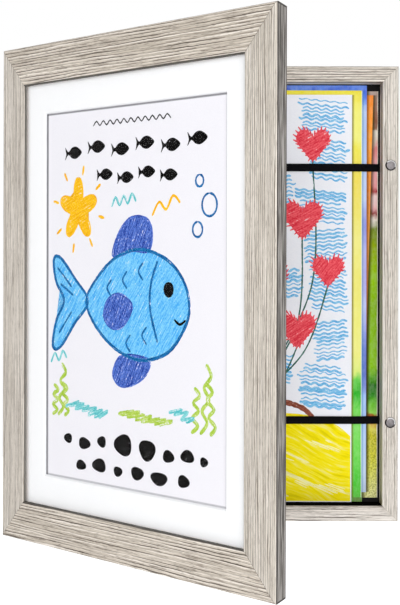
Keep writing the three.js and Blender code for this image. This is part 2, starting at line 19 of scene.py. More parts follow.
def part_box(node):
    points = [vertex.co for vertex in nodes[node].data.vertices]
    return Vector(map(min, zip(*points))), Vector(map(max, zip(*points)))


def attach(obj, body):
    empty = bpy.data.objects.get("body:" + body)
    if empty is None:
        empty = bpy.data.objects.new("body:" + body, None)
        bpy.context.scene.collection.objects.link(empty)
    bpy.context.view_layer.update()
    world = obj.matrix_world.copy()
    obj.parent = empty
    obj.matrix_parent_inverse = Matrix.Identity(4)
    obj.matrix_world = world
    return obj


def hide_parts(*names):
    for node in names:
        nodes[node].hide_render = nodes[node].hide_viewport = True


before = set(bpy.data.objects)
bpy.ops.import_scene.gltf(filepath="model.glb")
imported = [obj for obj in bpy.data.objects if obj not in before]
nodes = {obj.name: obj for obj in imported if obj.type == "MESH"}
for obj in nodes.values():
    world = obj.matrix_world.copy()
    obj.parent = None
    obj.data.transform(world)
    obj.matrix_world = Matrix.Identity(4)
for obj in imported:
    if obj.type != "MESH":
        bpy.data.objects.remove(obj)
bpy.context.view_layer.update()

mm = 0.001

# %% [markdown]
# ## The hinge line
# At rest the door stands open, so nothing on it is square to the axes. It is far
# easier to draw such a piece as if the door were shut and to turn it open at the
# end. The pin gives the centre of that turn, and the angle is the model's own rest pose.

# %% The turn from shut to open
pin_low, pin_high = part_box("upper_hinge_pin")
pin = Vector(((pin_low.x + pin_high.x) / 2, (pin_low.y + pin_high.y) / 2, 0))
rest_opening = math.radians(50)
door_turn = Matrix.Rotation(-rest_opening, 3, "Z")
print("hinge pin at", [round(v / mm, 2) for v in pin], "mm")
print("door open", round(math.degrees(rest_opening)), "degrees")

# %% [markdown]
# ## Camera
# The picture was taken almost square to the wall, level with a point a little
# above the middle of the box. A long lens from 1.2 m keeps the box's sides straight
# while the open door comes towards the eye and grows. The lens is moved by a
# small shift instead of a tilt, so that upright edges stay upright.

# %% Camera
eye = Vector((-10.74, -1203.6, 28.1)) * mm
camera_data = bpy.data.cameras.new("camera")
camera_data.sensor_width, camera_data.lens = 36, 91.77
camera_data.shift_x, camera_data.shift_y = 0.0028, -0.0756
camera_data.clip_start = 0.05
camera = bpy.data.objects.new("camera", camera_data)
camera.location = eye
camera.rotation_euler = (math.radians(90), math.radians(-0.13), 0)
bpy.context.scene.collection.objects.link(camera)
bpy.context.scene.camera = camera
print("camera at", [round(v / mm) for v in eye], "mm with a", camera_data.lens, "mm lens")

# %% [markdown]
# ## Colours and nodes
# Colours are written as the hex values that a screen shows, and one function turns
# them into the linear light that the shader works in. A second function adds a
# shader node, sets its options, fills or links its sockets and gives back its output, so
# that each finish below reads as a short list of nodes.

# %% Helpers for materials
def linear(hex_colour):
    """Turns a screen colour such as #C9C1B6 into linear red, green, blue and alpha."""
    channels = [int(hex_colour[i:i + 2], 16) / 255 for i in (1, 3, 5)]
    return tuple(((c + 0.055) / 1.055) ** 2.4 if c > 0.04045 else c / 12.92 for c in channels) + (1.0,)


def add_node(tree, kind, sockets=(), **options):
    """Adds one shader node and gives back its first output in use. sockets holds values or other nodes'
    outputs, listed in the order of the inputs in use or keyed by their names."""
    node = tree.nodes.new("ShaderNode" + kind)
    for name, value in options.items():
        setattr(node, name, value)
    if not isinstance(sockets, dict):
        sockets = dict(zip([i for i, socket in enumerate(node.inputs) if socket.enabled], sockets))
    for key, value in sockets.items():
        if isinstance(value, bpy.types.NodeSocket):
            tree.links.new(value, node.inputs[key])
        else:
            node.inputs[key].default_value = value
    return next(output for output in node.outputs if output.enabled)


def feed(shader, **sources):
    """Links outputs to sockets of a shader. Base_Color stands for Base Color."""
    for name, source in sources.items():
        shader.id_data.links.new(source, shader.inputs[name.replace("_", " ")])


def new_finish(name, hex_colour, **values):
    """Starts a material with one Principled shader and gives back the material, its nodes and the shader."""
    material = bpy.data.materials.new(name)
    material.use_nodes = True
    shader = material.node_tree.nodes["Principled BSDF"]
    shader.inputs["Base Color"].default_value = linear(hex_colour)
    for socket, value in values.items():
        shader.inputs[socket.replace("_", " ")].default_value = value
    return material, material.node_tree, shader


def blend(factor, first, second):
    """Mixes two colours, each a hex value or an output, by a factor. At least one of the three is
    an output."""
    tree = next(v.id_data for v in (factor, first, second) if isinstance(v, bpy.types.NodeSocket))
    ends = [linear(c) if isinstance(c, str) else c for c in (first, second)]
    return add_node(tree, "Mix", (factor, *ends), data_type="RGBA")


def ramp(value, low, high, start=0.0, end=1.0):
    """Turns the part of a value between low and high into start to end."""
    sockets = (value, low, high, start, end)
    return add_node(value.id_data, "MapRange", sockets, interpolation_type="SMOOTHSTEP")


def colour_steps(value, steps, unit=mm):
    """A colour that runs through steps, each a level in the unit and a hex colour, lowest first."""
    low, high = steps[0][0], steps[-1][0]
    share = add_node(value.id_data, "MapRange", (value, low * unit, high * unit))
    colour = add_node(value.id_data, "ValToRGB", (share,))
    stops = colour.node.color_ramp.elements
    for number, (level, hex_colour) in enumerate(steps):
        place = (level - low) / (high - low)
        stop = stops[number] if number < 2 else stops.new(place)
        stop.position, stop.color = place, linear(hex_colour)
    return colour


print("white in linear light:", linear("#FFFFFF"))

# %% [markdown]
# ## Light and floor
# The picture has a plain white ground and soft light without a hard shadow. One big
# soft lamp stands behind the camera, a second at the left lights the open door, a third
# lights the rear, and the world fills the rest. White comes from the world that the camera and the
# shiny parts see, and not from stronger lamps, so that the pale foil keeps its colour. The matt
# paint of the floor, well below the frame, glows where it is seen, so that it stays as white as the ground.

# %% World, lamps and floor
def is_seen(tree):
    """One where a ray comes from the camera, a reflection or a clear pane, and hasn't lit a matt face."""
    path = add_node(tree, "LightPath").node.outputs
    shiny = add_node(tree, "Math", (path["Is Glossy Ray"], path["Is Transmission Ray"]), operation="MAXIMUM")
    seen = add_node(tree, "Math", (path["Is Camera Ray"], shiny), operation="MAXIMUM")
    direct = add_node(tree, "Math", (path["Diffuse Depth"], 0.5), operation="LESS_THAN")
    return add_node(tree, "Math", (seen, direct), operation="MULTIPLY")


bpy.context.scene.view_settings.view_transform = "Standard"
world = bpy.data.worlds.new("white_studio")
world.use_nodes = True
bpy.context.scene.world = world
sky = world.node_tree
fill_light = sky.nodes["Background"]
fill_light.inputs["Color"].default_value = linear("#F4F6FA")
fill_light.inputs["Strength"].default_value = 0.42
white_ground = add_node(sky, "Background", {"Color": linear("#FFFFFF"), "Strength": 1.0})
seen_or_fill = add_node(sky, "MixShader", (is_seen(sky), fill_light.outputs[0], white_ground))
feed(sky.nodes["World Output"], Surface=seen_or_fill)


def soft_lamp(name, place, aim, size, watts):
    """Makes one square area lamp that points from its place to its aim, both in metres."""
    data = bpy.data.lights.new(name, "AREA")
    data.size, data.energy = size, watts
    lamp = bpy.data.objects.new(name, data)
    lamp.location = place
    lamp.rotation_euler = (Vector(aim) - Vector(place)).to_track_quat("-Z", "Y").to_euler()
    bpy.context.scene.collection.objects.link(lamp)
    return lamp


lamps = [
    soft_lamp("front_lamp", (0.15, -2.3, 0.2), (0.05, 0, 0), 1.4, 35),
    soft_lamp("left_lamp", (-1.9, -0.9, 0.5), (-0.06, -0.13, 0), 1.2, 8),
    soft_lamp("rear_lamp", (0.8, 2.2, 1.2), (0, 0, 0), 1.4, 26),
]

floor_radius, floor_height = 6, -0.9
floor_mesh = bmesh.new()
bmesh.ops.create_circle(floor_mesh, cap_ends=True, segments=64, radius=floor_radius)
bmesh.ops.translate(floor_mesh, vec=(0, 0, floor_height), verts=floor_mesh.verts)
floor_data = bpy.data.meshes.new("floor")
floor_mesh.to_mesh(floor_data)
floor = bpy.data.objects.new("floor", floor_data)
bpy.context.scene.collection.objects.link(floor)

floor_paint, floor_tree, floor_shader = new_finish("matt_white_floor_paint", "#F2F2F2", Roughness=0.9)
grit = add_node(floor_tree, "TexNoise", {"Scale": 40, "Detail": 4})
feed(floor_shader, Base_Color=blend(grit, "#F0F0F0", "#F6F6F6"))
glow = add_node(floor_tree, "Emission", (linear("#FFFFFF"), 0.8))
lifted = add_node(floor_tree, "AddShader", (floor_shader.outputs[0], glow))
shown = add_node(floor_tree, "MixShader", (is_seen(floor_tree), floor_shader.outputs[0], lifted))
feed(floor_tree.nodes["Material Output"], Surface=shown)
floor_data.materials.append(floor_paint)
print("lamps:", [lamp.name for lamp in lamps])

# %% [markdown]
# ## The moulding
# The rails are fibreboard bars wrapped in a printed foil that is embossed with the
# fine straight grain of weathered oak. A photograph of wood could be pasted on, but noise
# that is drawn out along each bar gives every rail its own grain, and the mitres
# show because the grain turns there. The print is built up in layers: a ground that drifts
# between two tones, then pale and fine lines, short dashes and dark coarse lines. The pale lines
# run beside the dark ones and are partly print and partly a painted highlight on the embossed ridges.

# %% Grain of the foil
tremble_reach, sway = 0.9 * mm, 5 * mm


def noise(where, size, turned, seed, detail=2.0, rough=0.5):
    """Noise whose grain has a size in millimetres, one for all axes or one for each. It is turned with the
    door for a piece of the door."""
    centre, turn = (pin, -rest_opening) if turned else ((0, 0, 0), 0)
    sizes = [v * mm for v in (size if isinstance(size, (list, tuple)) else (size,) * 3)]
    mapped = add_node(where.id_data, "Mapping", (where, centre, (0, 0, turn), sizes), vector_type="TEXTURE")
    return add_node(where.id_data, "TexNoise", (mapped, seed, 1.0, detail, rough), noise_dimensions="4D")


def shut_coordinates(where, on_door):
    """Coordinates with the door shut: from the pin, and from the middle of the door or the box."""
    centre, turn = (pin, -rest_opening) if on_door else ((0, 0, 0), 0)
    from_pin = add_node(where.id_data, "Mapping", (where, centre, (0, 0, turn)), vector_type="TEXTURE")
    return from_pin, add_node(where.id_data, "VectorMath", (from_pin, centre), operation="ADD")


def streaks(where, grain, on_door, seed, width, length, detail=2, rough=0.5):
    """Noise with a width across one rail's grain and a length along it, in millimetres."""
    return noise(where, [length if axis == grain else width for axis in "XYZ"], on_door, seed, detail, rough)


def grain_lines(across, pitch, wander, strength, width):
    """Fine lines a pitch apart, in millimetres, that sway with one noise and come and go with another."""
    tree = across.id_data
    bent = add_node(tree, "Math", (wander, sway, across), operation="MULTIPLY_ADD")
    count = add_node(tree, "Math", (bent, 1 / (pitch * mm)), operation="MULTIPLY")
    phase = add_node(tree, "Math", (count, 0.5), operation="PINGPONG")
    line = ramp(phase, width * 0.45, width, 1.0, 0.0)
    return add_node(tree, "Math", (line, strength), operation="MULTIPLY")


# The pitch of the coarse and the fine lines in millimetres, then the dark, middle and pale tone; the
# pale tone is partly print and partly a painted highlight on the embossed ridges
line_looks = {
    ("X", True): (2.2, 1.4, "#40362C", "#776B5F", "#F4EBE0"),
    ("Z", True): (1.9, 0.95, "#6A5F55", "#90857A", "#F1E9E0"),
    ("X", False): (2.2, 1.4, "#50483D", "#7A7063", "#FDF6EC"),
    ("Z", False): (1.9, 0.95, "#7A7166", "#9C9387", "#EFE8DE"),
}


def printed_grain(drawn_out, from_pin, grain, on_door, seed, plain, shade):
    """The colour of the grain, its coarse and fine lines, and its faint streaks."""
    pitch, fine_pitch, dark, middle, pale = line_looks[grain, on_door]
    tremble, drift = drawn_out(seed + 29, 4, 13), drawn_out(seed, 10, 260)
    wander, strong = drawn_out(seed + 3, 7, 150), drawn_out(seed + 7, 1.6, 48)
    faint, dashes = drawn_out(seed + 11, 0.7, 26, 3, 0.6), drawn_out(seed + 23, 0.55, 9, 2, 0.6)
    glow_line = drawn_out(seed + 17, 1.5, 70)
    tree, across = from_pin.id_data, (1, 1, 0) if grain == "Z" else (0, 1, 1)
    over = add_node(tree, "VectorMath", (from_pin, across), operation="DOT_PRODUCT")
    over = add_node(tree, "Math", (tremble, tremble_reach, over), operation="MULTIPLY_ADD")
    lit = add_node(tree, "Math", (over, pitch / 3 * mm), operation="ADD")
    coarse = grain_lines(over, pitch, wander, ramp(strong, 0.38, 0.6, 0.12, 1.0), 0.17)
    fine = grain_lines(over, fine_pitch, faint, ramp(glow_line, 0.35, 0.6, 0.8, 0.2), 0.2)
    # The pale lines sit a third of a pitch beside the coarse ones: partly print and partly a painted
    # highlight on the embossed ridges
    light = grain_lines(lit, pitch, wander, ramp(glow_line, 0.40, 0.6, 0.1, 1.0), 0.2)
    tone = blend(ramp(drift, 0.35, 0.65), plain, shade)
    for cover, colour in ((ramp(faint, 0.35, 0.65, 0.35, 0.0), "#A5998D"), (light, pale), (fine, middle),
                          (ramp(dashes, 0.57, 0.66, 0.0, 0.7), middle), (coarse, dark)):
        tone = blend(cover, tone, colour)
    return tone, coarse, fine, faint


print("grain pitch in mm:", {rail: look[0] for rail, look in line_looks.items()})

# %% [markdown]
# ## The foil on each rail
# One printed foil wraps the whole rail, but it doesn't look the same all round. The outer sides are
# darkened with painted shade, the door's much more than the box's, and the door's sides are smeared,
# with dark lines along their edges. The wall inside each lip has tones of its own, painted shade and
# painted light, because what lies round the real one shades it or lights it, and on some rails that
# tone comes round onto the front as a thin line. The foil is folded over the rear edge by 2 mm, and
# inside that fold the brown board is bare. Eight finishes could be made one by one, but a function
# that is told the rail and its tones keeps them alike.

# %% Embossed foil
# In millimetres: the fold, how far the lip's wall is from the outer side, and the side's edges from the pin
foil_fold, lip_zone, side_arrises = 2, 8, (-11.9, -2.7)
door_half, box_half, door_face, box_face = (153.5, 185.25), (142.5, 174.25), 29.5, 12


def embossed_foil(name, grain, on_door, seed, plain, shade, lip_light_and_shade, lip_cover, lip_line):
    """Foil for one rail of the door or the box. lip_line is how far, in millimetres, the painted shade and
    light of the lip's inner face comes round onto the front."""
    material, tree, shader = new_finish(name, plain, Roughness=0.55, Specular_IOR_Level=0.3)
    half_size, face_width = (door_half, door_face) if on_door else (box_half, box_face)
    spot = add_node(tree, "TexCoord").node.outputs
    drawn_out = partial(streaks, spot["Object"], grain, on_door)
    from_pin, from_middle = shut_coordinates(spot["Object"], on_door)
    tone, coarse, fine, faint = printed_grain(drawn_out, from_pin, grain, on_door, seed, plain, shade)

    depth_in = add_node(tree, "SeparateXYZ", (from_pin,)).node.outputs["Y"]
    rear = door_turn @ Vector((0, 1, 0)) if on_door else Vector((0, 1, 0))
    facing = add_node(tree, "VectorMath", (spot["Normal"], rear), operation="DOT_PRODUCT")
    is_side = ramp(add_node(tree, "Math", (facing,), operation="ABSOLUTE"), 0.3, 0.65, 1.0, 0.0)
    reach = add_node(tree, "VectorMath", (from_middle,), operation="ABSOLUTE")
    axes = add_node(tree, "SeparateXYZ", (reach,)).node.outputs
    outward, half = (axes["X"], half_size[0]) if grain == "Z" else (axes["Z"], half_size[1])
    on_lip = add_node(tree, "Math", (outward, (half - lip_zone) * mm), operation="LESS_THAN")
    # The sides are darkened towards #5D5955 as painted shade, strongly on the door and lightly on the box
    side_tone = blend(ramp(faint, 0.3, 0.7, *((0.72, 0.9) if on_door else (0.15, 0.3))), tone, "#5D5955")
    if on_door:
        smears = drawn_out(seed + 31, 1.0, 36, 2, 0.7)
        side_tone = blend(ramp(smears, 0.38, 0.54, 0.8, 0.0), side_tone, "#3A3633")
        side_tone = blend(ramp(smears, 0.48, 0.62, 0.0, 0.85), side_tone, "#C2BDB8")
        # Dark lines along two edges of each side and along the door's outer corners
        to_corner = add_node(tree, "Math", (axes["Z"], axes["X"]), operation="SUBTRACT")
        corner_line = (to_corner, door_half[1] - door_half[0], 1.3)
        for value, place, span in (*[(depth_in, arris, 0.5) for arris in side_arrises], corner_line):
            edge_line = add_node(tree, "Math", (value, place * mm, span * mm), operation="COMPARE")
            side_tone = blend(edge_line, side_tone, "#403B38")

    # The lip's inner wall takes painted shade and painted light, and lip_line carries that tone onto the
    # front as a thin line
    if isinstance(lip_light_and_shade, list):
        lip_light_and_shade = colour_steps(depth_in, lip_light_and_shade)
    elif not on_door:
        dull = add_node(tree, "Math", (on_lip, is_side), operation="MULTIPLY")
        feed(shader, Specular_IOR_Level=ramp(dull, 0, 1, 0.3, 0.0))
    side_tone = blend(on_lip, side_tone, blend(lip_cover, tone, lip_light_and_shade))
    tone = blend(is_side, tone, side_tone)
    lip_edge = (half - face_width + lip_line) * mm
    line_cover = lip_cover if lip_line else 0.0
    line_on = ramp(outward, lip_edge - 0.2 * mm, lip_edge + 0.15 * mm, line_cover, 0.0)
    tone = blend(line_on, tone, lip_light_and_shade)

    inside = [add_node(tree, "Math", (axes[axis], (limit - foil_fold) * mm), operation="LESS_THAN")
              for axis, limit in zip("XZ", half_size)]
    is_rear = add_node(tree, "Math", (facing, 0.95), operation="GREATER_THAN")
    bare = add_node(tree, "Math", inside, operation="MULTIPLY")
    bare = add_node(tree, "Math", (bare, is_rear), operation="MULTIPLY")
    fibres = noise(spot["Object"], 1.2, on_door, seed, 5, 0.7)
    tone = blend(bare, tone, blend(ramp(fibres, 0.35, 0.65), "#8C6F4E", "#B08F68"))

    press = add_node(tree, "Math", (coarse, 0.5, fine), operation="MULTIPLY_ADD")
    relief = add_node(tree, "Bump", {"Height": press, "Strength": 0.4, "Distance": 0.15 * mm}, invert=True)
    feed(shader, Base_Color=tone, Normal=relief, Roughness=ramp(press, 0.0, 1.0, 0.5, 0.68))
    return material


def dress(material, *names):
    """Gives CAD nodes a finish in place of their plain one."""
    for name in names:
        for slot in nodes[name].material_slots:
            slot.material = material


print("foil folded over the rear edge by", foil_fold, "mm")

# %% [markdown]
# ## Tones of the rails
# Each rail has a ground in two near tones, and a tone of painted shade and painted light for its lip's
# inner wall, with how strongly that covers the grain and how far it comes round onto the front. A wall
# whose tone changes from front to rear lists its tones with their depths in millimetres. Each rail has a
# seed of its own, so that no two have the same grain.

# %% Tones of the rails
# The tones of these walls are painted shade and painted light, listed with their depths in millimetres
top_wall_light_and_shade = [(-23, "#3A332C"), (-19, "#4A423A"), (-17, "#C4C0BE"), (-7, "#E4E2E2"), (-5.5, "#18181C"),
            (-3, "#18181C")]
side_wall_light_and_shade = [(-23, "#F2EEE8"), (-21.5, "#E8E3DC"), (-16.5, "#C8C3BC"), (-15, "#96928E"), (-10.5, "#96928E"),
             (-9, "#FAFAFA"), (-3, "#FAFAFA")]
left_lip_shade = [(-13.3, "#4A4640"), (-12.4, "#4A4640"), (-11.8, "#6A6862"), (-10.4, "#7E7D78")]
# The box's bottom rail and right stile have a lighter ground than its top rail: painted light that makes up
# for the shade of the open door on them
rail_looks = {
    "bottom_rail": ("X", 1, ("#E0D5C6", "#CFC4B4", "#3E3A34", 0.95, 1.1),
                    ("#EAE4DC", "#DCD5CC", "#0C0C0A", 1.0, 0.0)),
    "top_rail": ("X", 23, ("#DFD4C5", "#CEC3B3", "#3E3A34", 0.95, 1.1),
                 ("#E2DAD0", "#D2CABE", top_wall_light_and_shade, 1.0, 0.0)),
    "left_stile": ("Z", 47, ("#DDD5C9", "#D0C8BB", left_lip_shade, 0.92, 0.0),
                   ("#E6E0D8", "#D8D2C9", side_wall_light_and_shade, 0.92, 0.8)),
    "right_stile": ("Z", 71, ("#DED6C9", "#D0C8BA", "#96938C", 0.6, 0.3),
                    ("#E8E2D9", "#DAD4CA", side_wall_light_and_shade, 0.92, 0.8)),
}
for rail, (grain, seed, door_look, box_look) in rail_looks.items():
    dress(embossed_foil(f"oak_foil_door_{rail}", grain, True, seed, *door_look), f"door_{rail}")
    dress(embossed_foil(f"oak_foil_box_{rail}", grain, False, seed + 100, *box_look), f"box_{rail}")
print("foiled rails:", 2 * len(rail_looks))

# %% [markdown]
# ## Boards, card and glazing
# The back of the box is thin fibreboard with a matt black face. The door's own back is bare brown
# board. The mat is thick white card, and its cut bevel draws a fine grey line round the page that is
# painted shade: the bevel is told from the face by the way a surface looks, it darkens towards the
# page, and the bevels at the left and the top are painted darker than the other two. The glazing is
# clear anti-glare acrylic: lamps shine through it without a dark shadow, which a plain clear shader
# would cast, and a lowered IOR keeps the white room off the picture behind it.

# %% Boards, card and glazing
def mottled(name, first, second, size, seed, detail, rough=0.5, spread=0.2, turned=False, bump=None,
            **values):
    """A finish of two near tones in patches of a size in millimetres. bump is the patches' relief in
    millimetres and its strength."""
    material, tree, shader = new_finish(name, first, **values)
    patches = noise(add_node(tree, "TexCoord").node.outputs["Object"], size, turned, seed, detail, rough)
    feed(shader, Base_Color=blend(ramp(patches, 0.5 - spread, 0.5 + spread), first, second))
    if bump:
        relief = {"Height": patches, "Strength": bump[1], "Distance": bump[0] * mm}
        feed(shader, Normal=add_node(tree, "Bump", relief))
    return material


def fibre_finish(name, first, second, size, roughness, depth, turned=False):
    """A matt pressed or paper face: two near tones mixed by fibres of the given size in millimetres."""
    return mottled(name, first, second, size, 5, 6, 0.65, turned=turned, bump=(depth, 0.35),
                   Roughness=roughness, Specular_IOR_Level=0.15)


def reopen(material):
    """The nodes of a finished material, its shader, and the colour that the shader has so far."""
    shader = material.node_tree.nodes["Principled BSDF"]
    return material.node_tree, shader, shader.inputs["Base Color"].links[0].from_socket


dress(fibre_finish("black_faced_fibreboard", "#0B0B0C", "#151416", 2, 0.75, 0.08), "back_panel")
dress(fibre_finish("bare_brown_fibreboard", "#8C6C48", "#A98660", 1.6, 0.85, 0.1, True), "door_backing")

mat_card = fibre_finish("white_mat_card_with_shaded_bevel", "#FFFFFF", "#FCFCFC", 0.8, 0.9, 0.03, True)
mat_tree, mat_shader, mat_face = reopen(mat_card)
mat_spot = add_node(mat_tree, "TexCoord").node.outputs
mat_facing, mat_turned_down = [
    add_node(mat_tree, "VectorMath", (mat_spot["Normal"], door_turn @ Vector(way)), operation="DOT_PRODUCT")
    for way in ((0, -1, 0), (1, 0, -1))]
mat_middle = shut_coordinates(mat_spot["Object"], True)[1]
mat_depth = add_node(mat_tree, "SeparateXYZ", (mat_middle,)).node.outputs["Y"]
# The bevels at the left and the top face right and down and get the darker painted shade, the rest a paler
# one; both darken towards the page
shaded_bevel = colour_steps(mat_depth, [(-30.8, "#FFFFFF"), (-30.1, "#F6F6F7"), (-29.75, "#DCDCDE"),
                                      (-29.4, "#B0B0B4")])
lit_bevel = colour_steps(mat_depth, [(-30.8, "#FFFFFF"), (-30.2, "#F6F6F7"), (-29.4, "#E8E8EA")])
bevel_light_and_shade = blend(ramp(mat_turned_down, -0.1, 0.1), lit_bevel, shaded_bevel)
feed(mat_shader, Base_Color=blend(ramp(mat_facing, 0.8, 0.95, 1.0, 0.0), mat_face, bevel_light_and_shade))
dress(mat_card, "mat_board")

pane, pane_tree, pane_shader = new_finish("anti_glare_acrylic", "#FFFFFF", Roughness=0.0, IOR=1.06,
                                          Transmission_Weight=1.0)
pane_path = add_node(pane_tree, "LightPath").node.outputs
lights_only = add_node(pane_tree, "Math", (pane_path["Is Shadow Ray"], pane_path["Is Diffuse Ray"]),
                       operation="MAXIMUM")
let_light_by = add_node(pane_tree, "BsdfTransparent")
pane_mix = add_node(pane_tree, "MixShader", (lights_only, pane_shader.outputs[0], let_light_by))
feed(pane_tree.nodes["Material Output"], Surface=pane_mix)
dress(pane, "glazing")
print("glazing IOR", pane_shader.inputs["IOR"].default_value)

# %% [markdown]
# ## Metal
# The hinges and magnets are nickel-plated steel, a slightly warm grey with a satin polish. The
# small fittings are zinc-plated, cooler and patchy where the bath dried. Both are
# metals, so the colour is the colour of the reflection, and fine noise in the
# roughness breaks the highlight up as handling does.

# %% Plated steel
def plated_steel(name, first, second, low_gloss, high_gloss):
    """A plated metal whose tone and gloss vary in soft patches of 2 mm, with 0.4 mm grain in the gloss."""
    material = mottled(name, first, second, 2, 3, 3, spread=0.15, Metallic=1.0, Roughness=low_gloss)
    tree, shader, _ = reopen(material)
    grain = noise(add_node(tree, "TexCoord").node.outputs["Object"], 0.4, False, 9, 2)
    feed(shader, Roughness=ramp(grain, 0.3, 0.7, low_gloss, high_gloss))
    return material


nickel = plated_steel("nickel_plated_steel", "#A8A4A3", "#9A9695", 0.28, 0.42)
zinc = plated_steel("zinc_plated_steel", "#BFC0BE", "#A9ABAC", 0.3, 0.5)
ends, sides = ("upper", "lower"), ("left", "right")
dress(nickel, *[f"{end}_hinge_{part}" for end in ends for part in ("box_leaf", "door_leaf", "pin")])
dress(zinc, "top_hanger", "side_hanger", *[f"turn_button_{end}_{side}" for end in ends for side in sides])
dress(zinc, *[name for name in nodes if name.startswith(("panel_brad_", "button_rivet_"))])
print("metal finishes:", nickel.name, zinc.name)

# %% [markdown]
# ## Making pieces
# Every new piece starts as a bmesh, is shaped by operators, and becomes an object at
# the origin with its place in its mesh, like the CAD nodes. One function does the last
# step for all: it turns a door piece open, makes the faces smooth, gives it its finish, and says
# which body carries it and which nodes it stands for.

# %% From bmesh to piece
sharp_angle = math.radians(30)


def make_piece(name, mesh, material, body, stands_for=(), on_door=False):
    """Turns a finished bmesh into a piece that rides on a body."""
    if on_door:
        bmesh.ops.rotate(mesh, cent=pin, matrix=door_turn, verts=mesh.verts)
    for face in mesh.faces:
        face.smooth = True
    for edge in mesh.edges:
        edge.smooth = len(edge.link_faces) == 2 and edge.calc_face_angle() < sharp_angle
    data = bpy.data.meshes.new(name)
    mesh.to_mesh(data)
    mesh.free()
    data.materials.append(material)
    piece = bpy.data.objects.new(name, data)
    bpy.context.scene.collection.objects.link(piece)
    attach(piece, body)
    if stands_for:
        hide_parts(*stands_for)
    return piece


def shut_place(vector):
    """Where a point of the open door is when the door is shut."""
    return door_turn.inverted() @ (vector - pin) + pin


def grow(mesh, faces, move, keep=True):
    """Extrudes faces by a move. If they are kept, they close the solid behind it."""
    grown = bmesh.ops.extrude_face_region(mesh, geom=faces, use_keep_orig=keep)["geom"]
    bmesh.ops.translate(mesh, vec=move, verts=[g for g in grown if isinstance(g, bmesh.types.BMVert)])


# %% [markdown]
# ## Magnets and strikes
# Two small disc magnets sit in bores in the box's right stile and pull on two steel discs on the
# door's rear. A coin is a cylinder at first sight, but its edge is rounded by the press and
# catches a bright rim of light, so the disc gets a bevel. On the magnets that light is also
# painted: a painted highlight where the rim faces up and right, and painted shade on the rest of the rim.

# %% Magnets and strikes
def coin(centre, radius, thickness, edge):
    """A disc with its axis along y, its front face at centre and its body behind it. Sizes are in metres."""
    mesh = bmesh.new()
    bmesh.ops.create_cone(mesh, cap_ends=True, segments=48, radius1=radius, radius2=radius, depth=thickness)
    rims = [e for e in mesh.edges if abs(e.verts[0].co.z - e.verts[1].co.z) < thickness / 2]
    bmesh.ops.bevel(mesh, geom=rims, offset=edge, affect="EDGES", segments=4, profile=0.5, material=-1)
    bmesh.ops.rotate(mesh, cent=(0, 0, 0), matrix=Matrix.Rotation(math.radians(90), 3, "X"), verts=mesh.verts)
    bmesh.ops.translate(mesh, vec=centre + Vector((0, thickness / 2, 0)), verts=mesh.verts)
    return mesh


def coin_of(node, edge):
    """A coin with the place and size of a round CAD node."""
    low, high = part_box(node)
    face = Vector(((low.x + high.x) / 2, low.y, (low.z + high.z) / 2))
    return coin(face, (high.x - low.x) / 2, high.y - low.y, edge)


magnet_skin = plated_steel("nickel_plated_magnet", "#595657", "#4E4B4C", 0.3, 0.45)
magnet_tree, magnet_shader, magnet_face = reopen(magnet_skin)
magnet_normal = add_node(magnet_tree, "TexCoord").node.outputs["Normal"]
magnet_facing = add_node(magnet_tree, "SeparateXYZ", (magnet_normal,)).node.outputs
# The rim has a painted highlight, white where it faces up and right, and painted shade, dark, elsewhere
rim_polish_and_highlight = ramp(magnet_facing["Y"], -0.99, -0.93)
upward = add_node(magnet_tree, "Math", (magnet_facing["X"], 0.6, magnet_facing["Z"]),
                  operation="MULTIPLY_ADD")
rim_highlight_and_shade = blend(ramp(upward, 0.0, 0.15), "#3C3A3A", "#FFFFFF")
magnet_gloss = magnet_shader.inputs["Roughness"].links[0].from_socket
feed(magnet_shader, Base_Color=blend(rim_polish_and_highlight, magnet_face, rim_highlight_and_shade),
     Roughness=add_node(magnet_tree, "Mix", (rim_polish_and_highlight, magnet_gloss, 0.08)))

magnet_edge, strike_edge, strike_thickness = 1.0 * mm, 0.35 * mm, 1.5 * mm
for end in ends:
    magnet = coin_of(f"{end}_magnet", magnet_edge)
    make_piece(f"{end}_disc_magnet", magnet, magnet_skin, "box", [f"{end}_magnet"])
    low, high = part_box(f"{end}_strike")
    face = shut_place((low + high) / 2) - Vector((0, strike_thickness / 2, 0))
    strike = coin(face, (high.z - low.z) / 2, strike_thickness, strike_edge)
    make_piece(f"{end}_strike_disc", strike, zinc, "door", [f"{end}_strike"], on_door=True)
print("magnets and strikes made:", 2 * len(ends))

# %% [markdown]
# ## Mitre filler
# A framer closes a mitre with tinted filler, so that the joint shows only where the
# grain turns. The solids leave a real 0.2 mm gap there. A thin plate with the moulding's own
# outline, set a hair below its surface, closes each of the eight joints.

# %% Filler in the mitres
filler = mottled("tinted_wood_filler", "#B3AA9C", "#C9C1B5", 0.6, 4, 3, Roughness=0.8, Specular_IOR_Level=0.3)
filler_width = 0.18
door_outline = [(2.1, -24.6), (2.6, -24.1), (26.0, -24.1), (26.0, -32.6), (29.4, -32.6), (29.4, -34.4),
                (29.0, -34.85), (1.9, -34.85), (0.7, -34.4), (0.1, -33.4)]
box_outline = [(0.1, -0.6), (0.6, -0.1), (8.1, -0.1), (8.1, -3.35), (11.9, -3.35), (11.9, -22.0),
               (11.0, -22.9), (1.1, -22.9), (0.1, -22.0)]


def mitre_plate(outline, half_size, side, end):
    """Filler for one corner. outline lists (distance in from the outer edge, y) in millimetres."""
    mesh = bmesh.new()
    across = Vector((side, 0, -end)).normalized() * filler_width * mm
    corner = [Vector(((half_size[0] - d) * side * mm, y * mm, (half_size[1] - d) * end * mm))
              for d, y in outline]
    face = mesh.faces.new([mesh.verts.new(v - across / 2) for v in corner])
    grow(mesh, [face], across)
    bmesh.ops.recalc_face_normals(mesh, faces=mesh.faces[:])
    return mesh


